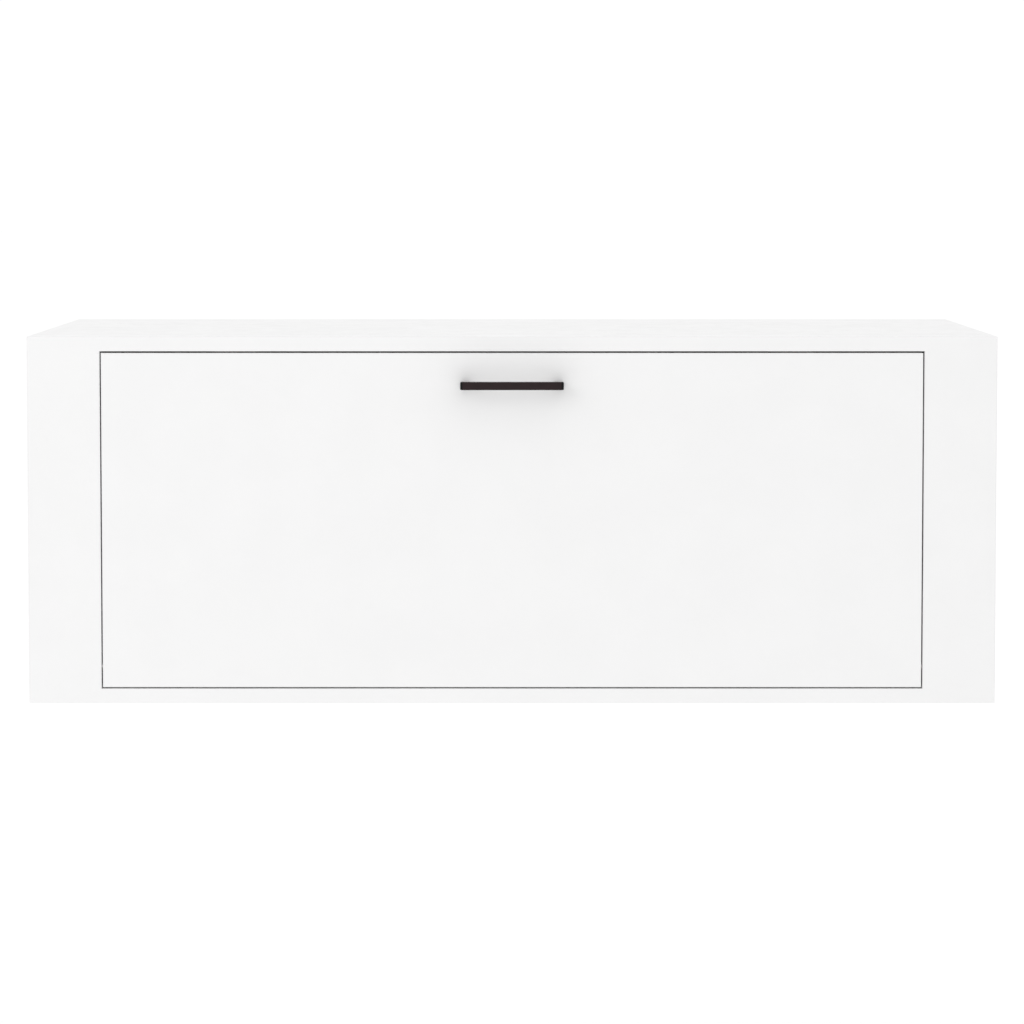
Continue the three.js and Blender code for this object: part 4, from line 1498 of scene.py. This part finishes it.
@dataclass
class Stay:
    """One of the flap's stays: a slotted arm between a riveted bracket and a stud on a plate."""

    finishes: Finishes
    side: Side
    arm_half_width: float = 7 * MM
    arm_arris: float = 0.35 * MM
    eye_radius: float = 2.8 * MM
    slot_half_width: float = 3.3 * MM
    slot_play: float = 0.6 * MM
    end_land: float = 2 * MM
    plate_corner: float = 3 * MM
    plate_arris: float = 0.4 * MM
    stud_steps: Steps = (
        (2.2 * MM, 2.3 * MM),
        (4.5 * MM, 1.2 * MM),
        (3.0 * MM, 3.5 * MM),
        (5.5 * MM, 1.5 * MM),
    )
    rivet_steps: Steps = (
        (4.5 * MM, 1.2 * MM),
        (2.5 * MM, 5.9 * MM),
        (4.5 * MM, 1.2 * MM),
    )
    head_easing: float = 0.9 * MM
    sheet: float = 2 * MM
    bend_radius: float = 1.2 * MM
    foot_corner: float = 4 * MM
    lug_corner: float = 8 * MM
    bend_steps: int = 9
    foot_steps: int = 8
    lug_steps: int = 12
    arris_steps: int = 4
    bracket_arris: float = 0.35 * MM
    screw: CrossScrew = field(default_factory=CrossScrew)

    def build(self) -> None:
        """Makes the arm, the plate with its stud, the bracket with its rivet, and the screws."""
        word = self.side.word
        steel = self.finishes.steel
        standing_for(f"{word}_stay_arm", self.side.stay, steel).place(self.arm())
        plate = f"{word}_stay_plate"
        shell = rounded_block(Shell(), Box.of(plate), Axis.X, self.plate_corner, self.plate_arris)
        standing_for(plate, Body.CABINET, steel).place(shell.mesh(plate))
        self.turned_part(f"{word}_stay_stud", Body.CABINET, self.stud_steps)
        self.turned_part(f"{word}_stay_rivet", Body.FLAP, self.rivet_steps)
        bracket = f"{word}_stay_bracket"
        standing_for(bracket, Body.FLAP, steel).place(self.bracket(bracket).mesh(bracket))
        for number in (1, 2):
            for name, body, into in (
                ("plate_screw", Body.CABINET, self.side.outward),
                ("bracket_screw", Body.FLAP, FORWARD),
            ):
                node = f"{word}_{name}_{number}"
                standing_for(node, body, steel).place(self.screw.mesh(node, into))

    def turned_part(self, node: str, body: Body, steps: Steps) -> None:
        """A stud or rivet, turned from the partition's side inwards."""
        box = Box.of(node)
        inwards = -self.side.outward
        shell = turned(Shell(), steps, (box.end(-inwards), inwards), self.head_easing)
        standing_for(node, body, self.finishes.steel).place(shell.mesh(node))

    def arm(self) -> Mesh:
        """The arm, from its eye on the rivet along its slot past the stud.

        Its slope is the direction from the rivet to the stud. The slot starts just short of the
        stud, and its length comes from the arm's box.
        """
        word = self.side.word
        box = Box.of(f"{word}_stay_arm")
        rivet = Box.of(f"{word}_stay_rivet").centre
        stud = Box.of(f"{word}_stay_stud").centre
        to_stud = (stud - rivet) * [0, 1, 1]
        closed_reach = float(np.linalg.norm(to_stud))
        along = to_stud / closed_reach
        y = Axis.Y.value
        last_centre = (box.high[y] - rivet[y] - self.arm_half_width) / along[y]
        slot = (closed_reach - self.slot_play, last_centre - self.end_land)
        outlines = [
            round_ended(0, last_centre, self.arm_half_width),
            round_ended(0, 0, self.eye_radius)[::-1],
            round_ended(*slot, self.slot_half_width)[::-1],
        ]
        origin = (box.centre[0], *rivet[1:])
        rows = np.stack([along, np.cross(RIGHT, along), RIGHT, origin], axis=-1)
        place = Matrix([*rows.tolist(), [0, 0, 0, 1]])
        return flat_part(outlines, 2 * box.half[Axis.X.value], self.arm_arris, place)

    def bracket(self, node: str) -> Shell:
        """The bracket: a strip of sheet bent through a right angle, foot on the flap.

        The strip's middle line runs along the foot, round a quarter circle and out along the lug.
        Across it lies a rounded rectangle, as thick as the sheet. Its half height is H - R +
        sqrt(R^2 - (R - s)^2) within the corner radius R of an end, s being the way from that end.
        """
        box = Box.of(node)
        half_height = box.half[Axis.Z.value]
        bend = self.bend_radius + self.sheet / 2
        outer_x = 2 * box.half[Axis.X.value] - self.sheet / 2
        foot_length = outer_x - bend
        lug_length = 2 * box.half[Axis.Y.value] - self.sheet / 2 - bend
        turn = np.linspace(0, QUARTER_TURN, self.bend_steps)[1:-1]
        near = self.foot_corner * (1 - np.cos(np.linspace(0, QUARTER_TURN, self.foot_steps)))
        far = self.lug_corner * (1 - np.cos(np.linspace(0, QUARTER_TURN, self.lug_steps)))
        foot = np.concatenate([near, [foot_length]])
        lug = np.concatenate([[0.0], (lug_length - far)[::-1]])
        x = np.concatenate([foot, foot_length + bend * np.sin(turn), np.full(len(lug), outer_x)])
        y = np.concatenate([np.zeros(len(foot)), bend * (1 - np.cos(turn)), bend + lug])
        heading = np.concatenate([np.zeros(len(foot)), turn, np.full(len(lug), QUARTER_TURN)])
        step = np.hypot(np.diff(x), np.diff(y))
        way = np.concatenate([[0.0], np.cumsum(step)])
        height = np.minimum(
            self.end_height(way, half_height, self.foot_corner),
            self.end_height(way[-1] - way, half_height, self.lug_corner),
        )
        signs, directions, edge = section_corners(self.arris_steps)
        arris = self.bracket_arris
        through = signs[:, 0] * (self.sheet / 2 - arris) + directions[:, 0] * arris
        sign = self.side.value
        points = np.zeros((len(x), len(signs), 3))
        points[..., 0] = x[:, None] + np.sin(heading)[:, None] * through
        points[..., 1] = y[:, None] - np.cos(heading)[:, None] * through
        points[..., 2] = signs[:, 1] * (height[:, None] - arris) + directions[:, 1] * arris
        ends = np.zeros((2,) + points.shape[1:])
        ends[..., 0] = x[[0, -1], None]
        ends[..., 1] = y[[0, -1], None]
        points = np.concatenate([ends[:1], points, ends[1:]])
        points[..., 0] = sign * points[..., 0] + (box.low[0] if sign > 0 else box.high[0])
        points[..., 1] += box.low[1] + self.sheet / 2
        points[..., 2] += box.centre[2]
        return Shell().add(points, edge)

    @staticmethod
    def end_height(way: Array, half_height: float, corner: float) -> Array:
        """Half of a strip's height at a way from an end with this corner radius."""
        short = np.clip(corner - way, 0, corner)
        return half_height - corner + np.sqrt(corner**2 - short**2)


@dataclass
class MagnetCatch:
    """One magnetic catch under the top panel, and its strike plate on the flap."""

    finishes: Finishes
    side: Side
    housing_easing: float = 1.0 * MM
    housing_segments: int = 4
    pole_thickness: float = 1.3 * MM
    core_setback: float = 0.6 * MM
    corner: float = 0.6 * MM
    arris: float = 0.25 * MM
    strike_corner: float = 2 * MM
    strike_thickness: float = 1.2 * MM
    stem_radius: float = 2 * MM
    screw: CrossScrew = field(default_factory=CrossScrew)

    def build(self) -> None:
        """Makes the housing, the magnet with its pole plates, the screws and the strike plate."""
        word = self.side.word
        housing = f"{word}_magnet_catch"
        mesh = eased_copy(housing, self.housing_easing, self.housing_segments)
        standing_for(housing, Body.CABINET, self.finishes.nylon).place(mesh)
        self.magnet(f"{word}_catch_magnet")
        for number in (1, 2):
            node = f"{word}_catch_screw_{number}"
            piece = standing_for(node, Body.CABINET, self.finishes.steel)
            piece.place(self.screw.mesh(node, UP))
        self.strike(f"{word}_strike_plate")

    def magnet(self, node: str) -> None:
        """A ferrite core, set back between two steel pole plates."""
        box = Box.of(node)
        setback = np.array([0, self.core_setback, self.pole_thickness])
        core = box.resized(setback, -self.pole_thickness * UP)
        shell = rounded_block(Shell(), core, Axis.Z, self.corner, self.arris)
        standing_for(node, Body.CABINET, self.finishes.ferrite).place(shell.mesh(node))
        span = 2 * box.half[Axis.Z.value] - self.pole_thickness
        plates = Shell()
        for plate in (box.resized(np.zeros(3), -span * UP), box.resized(span * UP, np.zeros(3))):
            rounded_block(plates, plate, Axis.Z, self.corner, self.arris)
        name = f"{self.side.word}_pole_plates"
        Piece(name, Body.CABINET, self.finishes.steel).place(plates.mesh(name))

    def strike(self, node: str) -> None:
        """A plate with rounded corners on a stem that is pressed into the flap."""
        box = Box.of(node)
        y = Axis.Y.value
        plate = Box(np.array([box.low[0], box.high[y] - self.strike_thickness, box.low[2]]), box.high)
        shell = rounded_block(Shell(), plate, Axis.Y, self.strike_corner, self.arris)
        start = plate.centre
        length = start[y] - box.low[y]
        turned(shell, ((self.stem_radius, length),), (start, FORWARD), self.arris, SMALL_SIDES)
        standing_for(node, Body.FLAP, self.finishes.steel).place(shell.mesh(node))


@dataclass
class CamFittings:
    """The eight cam fittings that draw the side panels to the top and bottom panels."""

    finishes: Finishes
    cam_radius: float = 7.5 * MM
    cam_depth: float = 12 * MM
    waist_radius: float = 6.4 * MM
    rim: float = 2 * MM
    bolt_radius: float = 3 * MM
    thread_radius: float = 2.5 * MM
    thread_length: float = 10 * MM
    arris: float = 0.4 * MM

    def build(self) -> None:
        """Makes the eight fittings."""
        for side in Side:
            for end, up in (("bottom", -1.0), ("top", 1.0)):
                for place in ("front", "rear"):
                    self.fitting(f"cam_fitting_{side.word}_{end}_{place}", side, up)

    def fitting(self, node: str, side: Side, up: float) -> None:
        """A waisted cam in the side panel's inner face, and the bolt that it draws."""
        box = Box.of(node)
        axis = side.outward
        towards = np.array([0.0, 0.0, up])
        start = box.end(-axis)
        start[2] = box.end(-towards)[2] + up * self.cam_radius
        rim = (self.cam_radius, self.rim)
        waist = (self.waist_radius, self.cam_depth - 2 * self.rim)
        shell = turned(Shell(), (rim, waist, rim), (start, axis), self.arris)
        plain = 2 * box.half[2] - self.cam_radius - self.thread_length
        bolt = ((self.bolt_radius, plain), (self.thread_radius, self.thread_length))
        turned(shell, bolt, (start + axis * box.half[0], towards), self.arris, SMALL_SIDES)
        standing_for(node, Body.CABINET, self.finishes.zinc).place(shell.mesh(node))


# ---- Studio ----


@dataclass
class Studio:
    """A pale floor, plain soft light and the camera."""

    finishes: Finishes
    floor_drop: float = 0.71  # cabinet's underside above the floor
    floor_half: float = 60.0
    sky: float = 1.04
    lamp_power: float = 8.0
    lamp_size: float = 1.6
    lamp_offset: Triple = (-1.9, -2.2, 1.2)  # from the middle of the flap
    camera_distance: float = 2.8763  # camera in front of the front face
    camera_height: float = 0.5463  # camera above the cabinet's underside
    camera_pitch: float = math.radians(2.704)
    lens: float = 98.382
    shift_y: float = -0.20

    def build(self) -> None:
        """Makes the floor, the light and the camera."""
        low, high = (np.array(corner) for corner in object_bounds())
        self.floor(low[2] - self.floor_drop)
        self.light()
        front = Box.of("fall_front").low[Axis.Y.value]
        middle = (low[0] + high[0]) / 2
        self.camera(np.array([middle, front - self.camera_distance, low[2] + self.camera_height]))

    def floor(self, level: float) -> None:
        """A wide flat sheet of one face."""
        signs = ((-1, -1), (1, -1), (1, 1), (-1, 1))
        corners = [(x * self.floor_half, y * self.floor_half, level) for x, y in signs]
        mesh = bpy.data.meshes.new("floor")
        mesh.from_pydata(corners, [], [(0, 1, 2, 3)])
        mesh.materials.append(self.finishes.floor.material())
        floor = set_in_scene("floor", mesh)
        floor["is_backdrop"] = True

    def light(self) -> None:
        """An even white surround and a broad lamp from the upper left."""
        world = bpy.data.worlds.new("studio")
        world.use_nodes = True
        background = world.node_tree.nodes["Background"]
        background.inputs["Color"].default_value = opaque((1.0, 1.0, 1.0))
        background.inputs["Strength"].default_value = self.sky
        bpy.context.scene.world = world
        lamp = bpy.data.lights.new("broad_lamp", "AREA")
        lamp.shape = "DISK"
        lamp.size = self.lamp_size
        lamp.energy = self.lamp_power
        holder = set_in_scene("broad_lamp", lamp)
        target = Box.of("fall_front").centre
        holder.location = target + np.array(self.lamp_offset)
        holder.rotation_mode = "QUATERNION"
        holder.rotation_quaternion = Vector(self.lamp_offset).to_track_quat("Z", "Y")
        view = bpy.context.scene.view_settings
        view.view_transform = "Standard"
        view.look = "None"

    def camera(self, place: Array) -> None:
        """A camera that looks along Y and slightly down."""
        camera = bpy.data.cameras.new("camera")
        camera.lens = self.lens
        camera.shift_y = self.shift_y
        holder = set_in_scene("camera", camera)
        holder.location = place
        holder.rotation_euler = (QUARTER_TURN - self.camera_pitch, 0, 0)
        bpy.context.scene.camera = holder


def main() -> None:
    """Builds the studio and every sub-assembly in order."""
    logging.basicConfig(level=logging.INFO, format="%(message)s")
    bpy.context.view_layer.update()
    finishes = Finishes()
    Studio(finishes).build()
    Carcass(finishes).build()
    Flap(finishes).build()
    Pull(finishes).build()
    CamFittings(finishes).build()
    for side in Side:
        Pivot(finishes, side).build()
        Stay(finishes, side).build()
        MagnetCatch(finishes, side).build()


if __name__ == "__main__":
    main()
